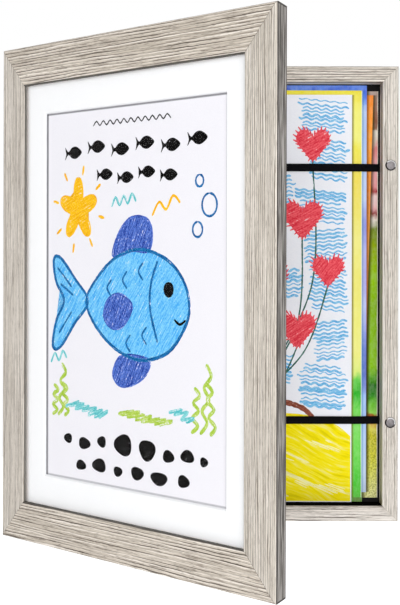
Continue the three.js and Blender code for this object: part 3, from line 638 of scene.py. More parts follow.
for side_name, side in zip(sides, (-1, 1)):
    for end_name, end in (("lower", -1), ("upper", 1)):
        for body, outline, half_size in (("door", door_outline, door_half), ("box", box_outline, box_half)):
            plate = mitre_plate(outline, half_size, side, end)
            make_piece(f"{body}_mitre_filler_{end_name}_{side_name}", plate, filler, body,
                       on_door=body == "door")
print("mitres filled: 8")

# %% [markdown]
# ## Screws
# Eight small countersunk screws hold the hinge leaves. Their cross recess shows from
# behind, so each head starts as a grid whose four corners are cut away. That
# leaves a cross, which is pressed in, bridged to the round rim and drawn down
# into the cone and the shank. The thread is inside the wood and isn't made.

# %% Screws
screw_head, screw_shank, screw_length, screw_cone = 1.4 * mm, 0.8 * mm, 7 * mm, 0.6 * mm
recess_reach, recess_width, recess_depth = 0.9 * mm, 0.22 * mm, 0.55 * mm
screw_rings = ((screw_shank, screw_cone), (screw_shank * 0.9, screw_length - screw_shank),
               (0.05 * mm, screw_length))


def cross_screw():
    """A countersunk screw along z, with the top of its head at the origin."""
    mesh = bmesh.new()
    bmesh.ops.create_grid(mesh, x_segments=3, y_segments=3, size=recess_reach)
    corners = [f for f in mesh.faces if min(abs(v) for v in f.calc_center_median()[:2]) > recess_reach / 3]
    bmesh.ops.delete(mesh, geom=corners, context="FACES")
    for vert in mesh.verts:
        for axis in (0, 1):
            if abs(vert.co[axis]) < recess_reach / 2:
                vert.co[axis] = math.copysign(recess_width, vert.co[axis])
    cross, cross_rim = mesh.faces[:], [e for e in mesh.edges if e.is_boundary]
    round_verts = bmesh.ops.create_circle(mesh, segments=24, radius=screw_head)["verts"]
    rim = list({e for v in round_verts for e in v.link_edges})
    bmesh.ops.bridge_loops(mesh, edges=cross_rim + rim)
    grow(mesh, cross, (0, 0, -recess_depth), keep=False)
    for radius, depth in screw_rings:
        ring = bmesh.ops.extrude_edge_only(mesh, edges=rim)["geom"]
        rim = [g for g in ring if isinstance(g, bmesh.types.BMEdge)]
        for vert in (g for g in ring if isinstance(g, bmesh.types.BMVert)):
            way = vert.co.xy.normalized()
            vert.co = (way.x * radius, way.y * radius, -depth)
    bmesh.ops.edgeloop_fill(mesh, edges=rim)
    bmesh.ops.recalc_face_normals(mesh, faces=mesh.faces[:])
    return mesh


def turned_screw(head, axis):
    """A screw with its head at a place, turned 90 degrees about an axis, with its cross at a chance angle."""
    mesh = cross_screw()
    for angle, about in ((hand.uniform(0, math.pi / 2), "Z"), (math.radians(-90), axis)):
        bmesh.ops.rotate(mesh, cent=(0, 0, 0), matrix=Matrix.Rotation(angle, 3, about), verts=mesh.verts)
    bmesh.ops.translate(mesh, vec=head, verts=mesh.verts)
    return mesh


hand = random.Random(11)
for end in ends:
    for spot in ends:
        box_node, door_node = f"{end}_hinge_box_screw_{spot}", f"{end}_hinge_door_screw_{spot}"
        low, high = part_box(box_node)
        screw = turned_screw(Vector((low.x, (low.y + high.y) / 2, (low.z + high.z) / 2)), "Y")
        make_piece(f"{end}_box_cross_screw_{spot}", screw, zinc, "box", [box_node])
        middle = shut_place(sum(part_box(door_node), Vector()) / 2)
        screw = turned_screw(middle + Vector((0, screw_length / 2, 0)), "X")
        make_piece(f"{end}_door_cross_screw_{spot}", screw, zinc, "door", [door_node],
                   on_door=True)
print("screws made:", 2 * len(ends) ** 2)

# %% [markdown]
# ## Bumpers
# Four moulded rubber feet keep the box off the wall. Rubber takes a soft round
# edge in its mould and a shallow dish in its face, so the disc is bevelled wide and its wall side
# is inset and pushed in. Rubber is dull and very dark grey, never pure black.

# %% Bumpers
bumper_edge, dish_inset, dish_depth = 0.7 * mm, 0.6 * mm, 0.25 * mm
rubber = mottled("moulded_black_rubber", "#262628", "#343436", 1.5, 2, 4, Roughness=0.8)
for end in ends:
    for side in sides:
        foot = coin_of(f"bumper_{end}_{side}", bumper_edge)
        wall_side = max(foot.faces, key=lambda f: f.calc_center_median().y)
        bmesh.ops.inset_region(foot, faces=[wall_side], thickness=dish_inset, depth=-dish_depth)
        make_piece(f"rubber_bumper_{end}_{side}", foot, rubber, "box",
                   [f"bumper_{end}_{side}"])
print("bumpers made:", len(ends) * len(sides))

# %% [markdown]
# ## Papers
# Each stored drawing is a loose sheet, so it isn't perfectly flat: the straps hold it down
# at two heights, and it bellies a little between them and lifts at its ends. Every sheet
# is a fine grid moved by the same bow, a bit more for each one nearer the front, so that the
# sheets fan apart but never touch. The shade that a sheet casts on the next one, less than a
# millimetre behind it, is too faint under such soft lamps, so it is put into the paint as a dark band.

# %% Sheets and paint
strap_height, sheet_thickness = 98 * mm, 0.22 * mm
belly, end_lift, bleed = 0.35 * mm, 0.45 * mm, 14 * mm
ripple_height, ripple_width, ripple_length = 0.06 * mm, 41 * mm, 57 * mm
stack = ["mixed", "orange", "blue", "yellow_green", "crayon"]


def bow(x, z, share):
    """How far a stored sheet stands forward of its flat place, in metres."""
    if abs(z) < strap_height:
        rise = belly * (1 + math.cos(math.pi * z / strap_height)) / 2
    else:
        rise = end_lift * ((abs(z) - strap_height) / strap_height * 1.5) ** 2
    ripple = ripple_height * math.sin(x / ripple_width + 1.3) * math.sin(z / ripple_length)
    return share * (rise + ripple * min(1, rise / (0.1 * mm)))


def thicken(mesh, depth):
    """Gives an open sheet its thickness towards the rear and closes its edges."""
    grow(mesh, mesh.faces[:], (0, depth, 0))
    bmesh.ops.recalc_face_normals(mesh, faces=mesh.faces[:])


def paper_sheet(left, right, bottom, top, front, share, taper=0.0):
    """One closed sheet of paper, bowed by its share. taper draws its right edge in towards the foot."""
    mesh = bmesh.new()
    bmesh.ops.create_grid(mesh, x_segments=20, y_segments=40, size=0.5)
    for vert in mesh.verts:
        x = left + (vert.co.x + 0.5) * (right - left - taper * (0.5 - vert.co.y))
        z = bottom + (vert.co.y + 0.5) * (top - bottom)
        vert.co = (x, front - bow(x, z, share), z)
    thicken(mesh, sheet_thickness)
    return mesh


def watercolour(name, seed, washes, under, shade_look, rim=None, loose=1.0, speckled=None):
    """Paper with bands of paint. washes lists (height in mm, colour) from the bottom to the top. under
    lists the right edges of sheets in front, as x at mid-height, lean, bottom and top, and shade_look is
    the colour, strength and reach of their shade. rim is its own bare right edge, which wanders by loose,
    and the paint below the height speckled is stippled."""
    dark, strength, reach = shade_look
    material, tree, shader = new_finish(name, washes[0][1], Roughness=0.85, Specular_IOR_Level=0.15)
    where = add_node(tree, "TexCoord").node.outputs["Object"]
    axes = add_node(tree, "SeparateXYZ", (where,)).node.outputs
    centred = add_node(tree, "Math", (noise(where, (7, 7, 9), False, seed, 3), 0.5), operation="SUBTRACT")
    shift = add_node(tree, "Math", (centred, bleed, axes["Z"]), operation="MULTIPLY_ADD")
    pigment = noise(where, (2.5, 2.5, 4.5), False, seed + 5, 5, 0.7)
    tone = blend(ramp(pigment, 0.35, 0.7, 0.0, 0.1), colour_steps(shift, washes), "#FFFFE8")
    if speckled:
        dots = ramp(noise(where, 1.3, False, seed + 9, 3, 0.7), 0.46, 0.60, 0.0, 0.6)
        low_down = ramp(axes["Z"], (speckled - 4) * mm, speckled * mm, 1.0, 0.0)
        tone = blend(add_node(tree, "Math", (dots, low_down), operation="MULTIPLY"), tone, "#7C8008")
    if rim:
        edge = add_node(tree, "Math", (centred, loose * mm, axes["X"]), operation="MULTIPLY_ADD")
        tone = blend(ramp(edge, (rim - 0.5) * mm, (rim - 0.2) * mm), tone, "#FCFCEC")
    for x, lean, bottom, top in under:
        past = add_node(tree, "Math", (axes["Z"], -lean, axes["X"]), operation="MULTIPLY_ADD")
        aside = ramp(past, (x + 0.6) * mm, (x + reach) * mm, strength, 0.0)
        beside = add_node(tree, "Math", (axes["Z"], (top + bottom) / 2 * mm, (top - bottom) / 2 * mm),
                          operation="COMPARE")
        tone = blend(add_node(tree, "Math", (aside, beside), operation="MULTIPLY"), tone, dark)
    relief = add_node(tree, "Bump", {"Height": pigment, "Strength": 0.3, "Distance": 0.05 * mm})
    feed(shader, Base_Color=tone, Normal=relief)
    return material


print("sheets in the stack:", len(stack))

# %% [markdown]
# ## The painted sheets and the page
# Four of the sheets are covered in broad washes of paint, of which only the right edges show, and the
# foremost is plain paper. A wash is a colour at each height, and soft noise bends the borders between
# the washes. On two sheets the paint stops short of the right edge, and the rearmost is stippled
# at its foot. The page in the door is pressed flat by its backing, and the mat's shade on it is a
# soft grey band along each side of the window.

# %% Painted and drawn sheets
orange_lean, share_step = 8.3, 0.25
edges = {}
for colour in stack:
    low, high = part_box(f"stored_sheet_{colour}")
    lean = orange_lean if colour == "orange" else 0
    edges[colour] = (high.x / mm - lean / 2, lean * mm / (high.z - low.z), low.z / mm, high.z / mm)
mixed_washes = [
    (-159, "#F0F0AA"), (-150, "#E8E88C"), (-136, "#DCDC50"), (-122, "#D6D238"), (-110, "#CEC830"),
    (-103, "#DCD458"), (-100, "#C8600E"), (-95, "#A84A0A"), (-93, "#98D858"), (-86, "#68BE30"),
    (-80, "#2A8C10"), (-72, "#0C6A0A"), (-66, "#4A9C08"), (-58, "#88C400"), (-10, "#84B800"), (10, "#98CC08"),
    (34, "#94B208"), (50, "#748C08"), (56, "#ECE4DC"), (61, "#9A2A32"), (66, "#EAB0B6"), (74, "#F6DCDC"),
    (79, "#B42434"), (84, "#E8989F"), (96, "#F8B8BE"), (112, "#E6888C"), (117, "#E8D4C8"), (127, "#F2F0E4"),
    (129, "#9A6450"), (138, "#A86C56"), (150, "#B68E80"), (157, "#BAA8A0")]
orange_washes = [(-161, "#6E9C46"), (-130, "#6E9C46"), (-20, "#D8922A"), (40, "#F0A040"), (78, "#EE9040"),
                 (120, "#FFA436"), (155, "#F88C2C")]
blue_washes = [
    (-155, "#BCCCE8"), (-140, "#C4D8F4"), (-112, "#B4CEF8"), (-80, "#A2C4FA"), (-72, "#8090DC"),
    (-62, "#5C70CC"), (-44, "#7084DA"), (-28, "#9CA8F0"), (-10, "#C2CAF8"), (8, "#B4B0F0"), (34, "#BABCF4"),
    (50, "#9096E6"), (64, "#AEB6F0"), (74, "#C8D8FC"), (98, "#BCD0F8"), (122, "#ACC4F4"), (142, "#BCD0F8"),
    (148, "#7CA2F4"), (153, "#5682F0"), (157, "#3C64E4"), (161, "#6C98FA")]
green_washes = [
    (-159, "#5CD040"), (-146, "#4CCC38"), (-128, "#66D84C"), (-104, "#7CE060"), (-90, "#70DA54"),
    (-84, "#3CC034"), (-76, "#26B026"), (-68, "#66D44C"), (-62, "#DCF080"), (-46, "#F0F088"),
    (-20, "#F2F080"), (10, "#F2EC78"), (40, "#F4F08C"), (62, "#F2E870"), (88, "#F2E05C"), (114, "#F2EA50"),
    (121, "#F4F484"), (142, "#F4F278"), (150, "#F2E850"), (157, "#F0E43C")]
sheet_finishes = {
    "mixed": watercolour("mixed_watercolour_on_paper", 3, mixed_washes, [edges["blue"], edges["orange"]],
                         ("#3E3A10", 0.85, 3.6), edges["mixed"][0], 1.2, -106),
    "orange": watercolour("orange_poster_paint_on_paper", 13, orange_washes, [edges["blue"]],
                          ("#7A3A08", 0.7, 2.6)),
    "blue": watercolour("blue_watercolour_on_paper", 29, blue_washes, [edges["yellow_green"]],
                        ("#3A88B4", 0.5, 2.2)),
    "yellow_green": watercolour("yellow_to_green_watercolour", 41, green_washes, [edges["crayon"]],
                                ("#6E6A10", 0.75, 2.2), edges["yellow_green"][0], 0.5),
    "crayon": fibre_finish("white_drawing_paper", "#F5F7FD", "#EFF2FA", 1.0, 0.9, 0.04),
}
for row, colour in enumerate(stack):
    low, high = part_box(f"stored_sheet_{colour}")
    taper = orange_lean * mm if colour == "orange" else 0
    sheet = paper_sheet(low.x, high.x, low.z, high.z, low.y, 1 + share_step * row, taper)
    make_piece(f"{colour}_drawing_sheet", sheet, sheet_finishes[colour], "box",
               [f"stored_sheet_{colour}"])

page_front, page_size, window_half = -29.15 * mm, (215.9, 279.4), {"X": 101.6, "Z": 133.35}
page_paper = fibre_finish("smooth_white_page_paper", "#F5F3F7", "#F1EFF4", 0.9, 0.85, 0.03, True)
page_tree, page_shader, page_tone = reopen(page_paper)
page_middle = shut_coordinates(add_node(page_tree, "TexCoord").node.outputs["Object"], True)[1]
page_axes = add_node(page_tree, "SeparateXYZ", (page_middle,)).node.outputs
for axis, sign, reach, strength in (("X", -1, 2.3, 0.8), ("Z", 1, 1.5, 0.75), ("Z", -1, 1.6, 0.42),
                                    ("X", 1, 1.4, 0.3)):
    inward = add_node(page_tree, "Math", (page_axes[axis], -sign, window_half[axis] * mm),
                      operation="MULTIPLY_ADD")
    page_tone = blend(ramp(inward, reach * 0.5 * mm, reach * mm, strength, 0.0), page_tone, "#55555A")
feed(page_shader, Base_Color=page_tone)
half_width, half_height = [v / 2 * mm for v in page_size]
page = paper_sheet(-half_width, half_width, -half_height, half_height, page_front, 0)
make_piece("page_in_the_door", page, page_paper, "door", ["display_page"], on_door=True)
print("paper sheets:", len(stack) + 1)

# %% [markdown]
# ## Straps
# The two straps are woven elastic, 6 mm wide, and sag a little in their slots. Their ends are
# tucked behind the stiles, and between them each strap runs tight over the stepped edges of the
# stack. A long grid follows that path, and every other row of its points stands a little
# proud, which gives the close ribs that rubber threads make in the weave.

# %% Elastic straps
elastic = mottled("black_woven_elastic", "#060608", "#121215", (0.5, 0.5, 1.2), 7, 3, 0.6, spread=0.15,
                  bump=(0.1, 0.4), Roughness=0.9, Specular_IOR_Level=0.05)
strap_thickness, strap_half, rib_height, edge_round = 0.75 * mm, 3 * mm, 0.05 * mm, 0.18 * mm
play, lift, sag, ledge = 0.3 * mm, 0.25 * mm, 0.45 * mm, 130.5 * mm
rear_gap, rib_count = 0.2 * mm, 534


def strap_path():
    """Points (x, rear y) of the strap from its left end to its right end."""
    low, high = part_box("upper_strap")
    corners = [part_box(f"stored_sheet_{colour}") for colour in stack]
    left = [(low.x, high.y), (-ledge, high.y)] + [(a.x - play, a.y - lift) for a, b in corners]
    right = [(b.x + play, a.y - lift) for a, b in reversed(corners)] + [(ledge, high.y), (high.x, high.y)]
    return left + right


def strap_depth(path, x):
    """The strap's rear face at x, on the straight line between the path's points."""
    for (x0, y0), (x1, y1) in zip(path, path[1:]):
        if x <= x1 + 1e-9:
            return y0 + (y1 - y0) * max(0, x - x0) / (x1 - x0)
    return path[-1][1]


path = strap_path()
for end in ends:
    low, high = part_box(f"{end}_strap")
    mesh = bmesh.new()
    bmesh.ops.create_grid(mesh, x_segments=rib_count, y_segments=6, size=0.5)
    for vert in mesh.verts:
        along, across = vert.co.x + 0.5, vert.co.y * 2
        x = low.x + along * (high.x - low.x)
        rib = rib_height * (round(along * rib_count) % 2)
        y = strap_depth(path, x) - strap_thickness + rib + edge_round * across ** 6
        vert.co = (x, y, (low.z + high.z) / 2 - sag + across * strap_half)
    thicken(mesh, strap_thickness - rib_height - rear_gap)
    make_piece(f"{end}_elastic_strap", mesh, elastic, "box", [f"{end}_strap"])
print("straps made, path points:", len(path))

# %% [markdown]
# ## Crayon
# A crayon leaves wax on the tips of the paper's grain, so its mark is broken, thicker
# in streaks along the stroke and pale where the paper shows. A painted picture could carry that, but
# the marks are made here as thin ribbons of wax on the paper. Each ribbon has
# a map that runs along the stroke, and one noise drawn out along that map makes the streaks.

# %% Wax finish
page_white, sheet_white = "#F3F2F6", "#F2F4FB"
# The length, width and depth of a streak in centimetres, and how fine the paper's grains are
wax_streak, paper_grain = (1.1, 0.11, 1), 7.0


def wax(name, light, deep, paper, cover):
    """Crayon on paper: two tones of one colour, broken by paper. cover runs from 0, faint, to 1, solid."""
    material, tree, shader = new_finish(name, deep, Roughness=0.6, Specular_IOR_Level=0.03)
    stroke_map = add_node(tree, "UVMap", uv_map="stroke")
    drawn_out = add_node(tree, "Mapping", {"Vector": stroke_map, "Scale": wax_streak},
                         vector_type="TEXTURE")
    grains = add_node(tree, "Math", (add_node(tree, "TexNoise", (stroke_map, paper_grain, 3.0)), 0.4),
                      operation="MULTIPLY")
    body = add_node(tree, "Math", (add_node(tree, "TexNoise", (drawn_out, 1.0, 2.0)), 0.6, grains),
                    operation="MULTIPLY_ADD")
    edge = 0.62 - 0.3 * cover
    covered = ramp(body, edge - 0.05, edge + 0.05)
    relief = add_node(tree, "Bump", {"Height": body, "Strength": 0.4, "Distance": 0.08 * mm})
    feed(shader, Base_Color=blend(covered, paper, blend(ramp(body, 0.42, 0.62), light, deep)),
         Roughness=ramp(covered, 0, 1, 0.85, 0.5), Normal=relief)
    return material


print("paper under the wax:", page_white, sheet_white)

# %% [markdown]
# ## Ribbons and patches
# A drawn line is a narrow grid that follows a smooth curve through a few points. It is a little
# wider here and there, as a hand makes it, and narrow at its ends. A filled shape is a closed curve
# whose inside is cut into small faces. A curve object could give the line too, but a grid
# takes the map along the stroke, and both can be bowed with the sheet that they lie on.

# %% Ribbons and patches of wax
# The width of a ribbon's ends, its rise per point in millimetres and its map's step in centimetres
tip_share, point_rise, map_step = 0.22, 0.00008, 0.16


def drawn_line(points, step=1.6, closed=False):
    """Evenly spaced points on a smooth line through the given (x, z) points, in millimetres."""
    points = [Vector(p) for p in points]
    knots = [points[-1], *points, *points[:2]] if closed else [points[0], *points, points[-1]]
    line = []
    for before, start, stop, after in zip(knots, knots[1:], knots[2:], knots[3:]):
        count = max(2, round((stop - start).length / step) + 1)
        first, second = start + (stop - before) / 6, stop - (after - start) / 6
        line += interpolate_bezier(start, first, second, stop, count)[:-1]
    return line + [line[0] if closed else points[-1]]


def new_drawing():
    """An empty bmesh with the map that the wax follows."""
    mesh = bmesh.new()
    mesh.loops.layers.uv.new("stroke")
    return mesh


def set_map(mesh, faces, places):
    """Writes the map of new faces. places gives each vertex its place in centimetres."""
    layer = mesh.loops.layers.uv["stroke"]
    for face in faces:
        for loop in face.loops:
            loop[layer].uv = places[loop.vert]


def stroke(mesh, points, width, rise=0.0, step=1.6, closed=False):
    """Lays one ribbon of wax along a smooth line through points, or along the bare points if step is None.
    rise is how far it stands in front of older strokes, in millimetres, and each point adds a hair to it, so
    that a line that crosses itself has no two faces in one place."""
    line = drawn_line(points, step, closed) if step else points
    last = len(line) - 1
    made = bmesh.ops.create_grid(mesh, x_segments=last, y_segments=1, size=0.5)["verts"]
    start, places = hand.uniform(0, 50), {}
    breadth = [width / 2 * hand.uniform(0.8, 1.12) for _ in line]
    breadth[0] = breadth[-1] = width * tip_share
    for vert in made:
        number, side = round((vert.co.x + 0.5) * last), math.copysign(1, vert.co.y)
        here, before, after = line[number], line[max(number - 1, 0)], line[min(number + 1, last)]
        run = (after - before).normalized() if (after - before).length else Vector((1, 0))
        spot = here + Vector((-run.y, run.x)) * side * breadth[number]
        vert.co = (spot.x * mm, -(rise + point_rise * number) * mm, spot.y * mm)
        places[vert] = (start + number * map_step, side * breadth[number] / 10)
    set_map(mesh, {f for v in made for f in v.link_faces}, places)


def patch(mesh, points, slant, rise=0.0, step=1.6):
    """Fills a closed outline with wax whose streaks run at a slant, in degrees. A step of None keeps the
    bare points."""
    outline = drawn_line(points, step, True) if step else points
    older = set(mesh.faces)
    verts = [mesh.verts.new((p.x * mm, -rise * mm, p.y * mm)) for p in outline[:-1]]
    bmesh.ops.triangulate(mesh, faces=[mesh.faces.new(verts)])
    inner = {e for v in verts for e in v.link_edges}
    bmesh.ops.subdivide_edges(mesh, edges=list(inner), cuts=3, use_grid_fill=True)
    faces = set(mesh.faces) - older
    turn = Matrix.Rotation(-math.radians(slant), 2)
    places = {v: tuple(turn @ Vector((v.co.x, v.co.z)) / (10 * mm)) for f in faces for v in f.verts}
    set_map(mesh, faces, places)


def lay_down(name, mesh, material, where, level):
    """Puts a flat drawing on the page in the door or on the front sheet in the box."""
    on_page = where == "page"
    front = page_front if on_page else crayon_front
    for vert in mesh.verts:
        vert.co.y += front - level * mm - (0 if on_page else bow(vert.co.x, vert.co.z, crayon_share))
    thicken(mesh, level * mm)
    body, slot = ("door", "display_paper") if on_page else ("box", "crayon_paper")
    return make_piece(name, mesh, material, body, on_door=on_page)


crayon_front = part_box("stored_sheet_crayon")[0].y
crayon_share = 1 + share_step * (len(stack) - 1)
print("front sheet faces the door at y =", round(crayon_front / mm, 2), "mm")

# %% [markdown]
# ## The page in the door
# The page holds a child's crayon picture in clear blues with small yellow, green
# and teal marks. This one is a made-up seabed: a round blue fish with indigo fins, a
# starfish, weed and waves. Fills are laid first, outlines over them, and small marks last.

# %% Shapes on the page
def around(centre, radius, lobes=0, depth=0.0, count=40, squeeze=1.0, turn=0.0):
    """A closed outline round a centre. lobes and depth make a star or a blot of it."""
    outline = []
    for number in range(count):
        angle = 2 * math.pi * number / count
        reach = radius * (1 + depth * math.cos(lobes * angle))
        outline.append((centre[0] + reach * math.sin(angle + turn),
                        centre[1] + squeeze * reach * math.cos(angle + turn)))
    return outline


fish_body = [(64, -6), (57, 13), (38, 27), (10, 33), (-18, 27), (-40, 12), (-52, -4), (-40, -22), (-16, -37),
             (12, -43), (40, -37), (57, -22)]
fish_tail = [(-50, -4), (-66, 12), (-84, 27), (-93, 26), (-90, 10), (-80, -4), (-90, -20), (-94, -38),
             (-84, -38), (-66, -20)]
fish_fins = [
    [(-20, 28), (-14, 44), (0, 55), (18, 54), (24, 44), (20, 32), (2, 32)],
    [(-10, -41), (-20, -54), (-12, -62), (4, -60), (18, -52), (20, -42)],
    [(2, -6), (-12, 2), (-26, -2), (-31, -14), (-22, -22), (-8, -20)],
]

blue = wax("sky_blue_crayon", "#82D2FA", "#42A8F0", page_white, 0.86)
royal = wax("royal_blue_crayon", "#2078B6", "#084E8A", page_white, 0.9)
indigo = wax("indigo_crayon", "#5C7ED6", "#183592", page_white, 0.8)
black = wax("black_crayon", "#0B0909", "#030202", page_white, 0.98)
orange = wax("golden_orange_crayon", "#FFCA22", "#F4AE08", page_white, 0.86)
green = wax("leaf_green_crayon", "#C3DB6A", "#9CC22E", page_white, 0.75)
teal = wax("teal_crayon", "#8FDADB", "#45B7BE", page_white, 0.72)

drawing = new_drawing()
patch(drawing, fish_tail, 50)
patch(drawing, fish_body, 50)
lay_down("crayon_fish_body", drawing, blue, "page", 0.06)

drawing = new_drawing()
for fin in fish_fins:
    patch(drawing, fin, 62)
lay_down("crayon_fish_fins", drawing, indigo, "page", 0.10)

drawing = new_drawing()
for shape in (fish_body, fish_tail):
    stroke(drawing, shape, 2.3, closed=True)
    stroke(drawing, [(x * 0.99, z * 0.985) for x, z in shape], 1.4, 0.02, closed=True)
for x, z in ((14, 18), (-4, 12), (-22, 6), (18, -26), (0, -32)):
    stroke(drawing, [(x, z + 6), (x - 5, z), (x, z - 6)], 1.7)
stroke(drawing, [(30, 25), (23, 10), (22, -8), (30, -30)], 2.2)
for spine in ([(-88, 20), (-70, 6)], [(-84, 8), (-68, 0)], [(-86, -28), (-70, -12)]):
    stroke(drawing, spine, 1.6)
for x, z, radius in ((72, 46, 5), (84, 62, 7.5), (74, 78, 4)):
    stroke(drawing, around((x, z), radius, count=12), 1.6, closed=True)
lay_down("crayon_blue_lines", drawing, royal, "page", 0.14)

drawing = new_drawing()
for fin in fish_fins:
    stroke(drawing, fin, 1.8, closed=True)
lay_down("crayon_indigo_lines", drawing, indigo, "page", 0.13)
print("fish drawn with", len(fish_fins), "fins")

# %% [markdown]
# ## The small marks
# The small marks round the fish come from three moves of a child's hand: a zigzag, a
# fan of short strokes and a wavy upright. Black shoals of tiny fish swim at the head of
# the page, and round black pebbles lie at its foot.

# %% Small marks on the page
def scribble(spine, reach, pitch, lean=0.0):
    """A back-and-forth line that follows a spine and reaches to both sides of it, in millimetres."""
    points = []
    for number, spot in enumerate(drawn_line(spine, pitch)):
        side = reach * (1 if number % 2 else -1) * hand.uniform(0.8, 1.1)
        points.append((spot.x + side, spot.y + lean * side + hand.uniform(-0.3, 0.3) * pitch))
    return points


def wave(start, length, height, count, climb=0.0):
    """A zigzag of waves from a start point."""
    return [(start[0] + length * i / (2 * count), start[1] + climb * i + (height if i % 2 else 0))
            for i in range(2 * count + 1)]


leaf = [(-1.0, 0.42), (-0.62, 0.1), (-0.2, 0.38), (0.35, 0.42), (0.95, 0.02), (0.35, -0.38), (-0.2, -0.34),
        (-0.62, -0.08), (-1.0, -0.44), (-0.86, 0.0)]
shoals = [(x, 103 + 3 * (number % 2), 10.5) for number, x in enumerate(range(-68, 73, 28))]
shoals += [(x, 86 - 3 * (number % 2), 9.5) for number, x in enumerate(range(-30, 43, 24))]
# The x, z, radius and flatness of each pebble, in millimetres but for the last
pebbles = [(-74, -104, 5, 0.7), (-54, -106, 7, 0.6), (-33, -103, 5, 0.8), (-8, -103, 10, 0.75),
           (19, -104, 9, 0.8), (42, -106, 6, 0.7), (62, -104, 7, 0.6), (79, -106, 4, 0.8),
           (-58, -122, 6, 0.6), (-36, -120, 8, 0.6), (-14, -122, 5, 0.7), (8, -121, 7, 0.65),
           (32, -122, 9, 0.5), (58, -121, 6, 0.7)]

fish_eye = (42, 6)
drawing = new_drawing()
patch(drawing, around(fish_eye, 5.2, count=14), 30, 0.01)
stroke(drawing, around(fish_eye, 4.6, count=12), 1.8, 0.02, closed=True)
stroke(drawing, [(48, -14), (54, -17), (60, -14)], 1.7)
for x, z, size in shoals:
    patch(drawing, [(x + a * size, z + b * size) for a, b in leaf], hand.uniform(10, 60), step=1.2)
stroke(drawing, wave((-44, 121), 88, 3.2, 11), 0.9)
for x, z, radius, squeeze in pebbles:
    blot = around((x, z), radius, lobes=3, depth=0.08, count=14, squeeze=squeeze, turn=hand.uniform(0, 2))
    patch(drawing, blot, hand.uniform(10, 60), step=1.2)
lay_down("crayon_black_marks", drawing, black, "page", 0.18)

star_x, star_z = -62, 62
starfish = around((star_x, star_z), 16, lobes=5, depth=0.42, count=60)
drawing = new_drawing()
patch(drawing, starfish, 20)
stroke(drawing, starfish, 2.0, 0.02, closed=True)
for angle in range(12, 372, 45):
    out = Vector((math.sin(math.radians(angle)), math.cos(math.radians(angle))))
    stroke(drawing, [(star_x + out.x * far, star_z + out.y * far) for far in (25, 32)], 2.2)
stroke(drawing, wave((24, 56), 30, 7, 2, 2), 2.0)
lay_down("crayon_orange_starfish", drawing, orange, "page", 0.12)

drawing = new_drawing()
for x, height, lean in ((78, 46, 4), (88, 34, -3), (69, 30, 2), (-84, 38, 3), (-76, 24, -2), (-91, 22, 1)):
    weed = [(x + (3 if i % 2 else -3) + lean * i / 4, -88 + height * i / 6) for i in range(7)]
    stroke(drawing, weed, 3.0)
stroke(drawing, scribble([(-6, -80), (40, -84)], 8, 3.2, 0.25), 2.8)
lay_down("crayon_green_weed", drawing, green, "page", 0.11)

drawing = new_drawing()
stroke(drawing, scribble([(-70, -78), (-30, -84)], 7, 3.4, 0.3), 2.6)
stroke(drawing, scribble([(48, -74), (66, -80)], 6, 3.2, 0.3), 2.4)
stroke(drawing, wave((-22, 63), 28, 6, 3, 0.5), 2.0)
stroke(drawing, wave((-96, -50), 20, 6, 2, 1), 2.0)
lay_down("crayon_teal_waves", drawing, teal, "page", 0.12)
print("small marks drawn:", len(shoals), "fish and", len(pebbles), "pebbles")

# %% [markdown]
# ## The front sheet in the box
# The foremost stored drawing shows best when the door is open. Groups of wavy lines in pale
# blue stand for wind, red hearts fly over them on dark green strings like balloons, and a brown
# mound holds the strings. Drawn lines could be flat curves, but here each colour lies on the bowed
# sheet at a level of its own, so that it covers what is under it.

# %% Crayon on the front sheet
pale_blue = wax("pale_blue_crayon", "#8CCBF0", "#5BAEE4", sheet_white, 0.85)
red = wax("red_crayon", "#F2606A", "#DE2F41", sheet_white, 0.9)
dark_green = wax("dark_green_crayon", "#3F7468", "#1F4A44", sheet_white, 0.9)
brown = wax("brown_crayon", "#9A5A48", "#6E3527", sheet_white, 0.9)

# The x, z, reach, number of lines and slant of each gust, then the x, z and size of each heart
gusts = [(86, 136, 20, 9, -4), (90, 102, 16, 11, -5), (50, 78, 14, 8, 4), (84, 66, 21, 9, -4),
         (88, 36, 17, 9, 4), (54, 6, 16, 8, 3), (90, 2, 16, 12, -5), (92, -38, 14, 11, 4),
         (86, -74, 19, 12, -4), (48, -62, 16, 8, 4), (12, 106, 22, 9, 3), (4, 50, 20, 9, -3),
         (-36, 74, 18, 9, 3), (-44, 10, 24, 10, -3), (-92, 126, 20, 9, 4), (-88, -26, 22, 11, -4),
         (22, -26, 14, 8, 3)]
hearts = [(78, 116, 13), (70, 58, 15), (90, 18, 12), (66, -28, 14), (30, 86, 15), (44, 10, 14), (-6, 128, 14),
          (-16, 18, 16), (-60, 96, 15), (-66, 20, 15), (-100, 30, 11), (8, -40, 13), (-52, -44, 14)]
right_half = [(0.55, -0.45), (0.98, 0.15), (0.9, 0.66), (0.5, 0.86), (0.12, 0.6)]
heart = [(0, -1), *right_half, (0, 0.38), *[(-a, b) for a, b in reversed(right_half)]]
knot, line_spacing = Vector((30, -86)), 2.9

drawing = new_drawing()
for x, z, reach, count, slant in gusts:
    for number in range(count):
        half, level = reach * hand.uniform(0.75, 1.05), z + (count / 2 - number) * line_spacing
        swing, slide = hand.uniform(0.45, 1.0), hand.uniform(-0.5, 0.5)
        line = [(x + step, level + slide + swing * math.sin(step * 0.85 + slide) + step * slant / 40)
                for step in range(-round(half), round(half) + 1, 2)]
        stroke(drawing, line, hand.uniform(0.9, 2.2), step=1.0)
lay_down("crayon_blue_wind", drawing, pale_blue, "sheet", 0.06)

drawing = new_drawing()
for x, z, size in hearts:
    foot = Vector((x, z - size))
    bend = (foot + knot) / 2 + Vector((0.12 * (foot.y - knot.y), 0.1 * (knot.x - foot.x)))
    stroke(drawing, [foot, bend, knot], 1.2)
lay_down("crayon_green_strings", drawing, dark_green, "sheet", 0.10)

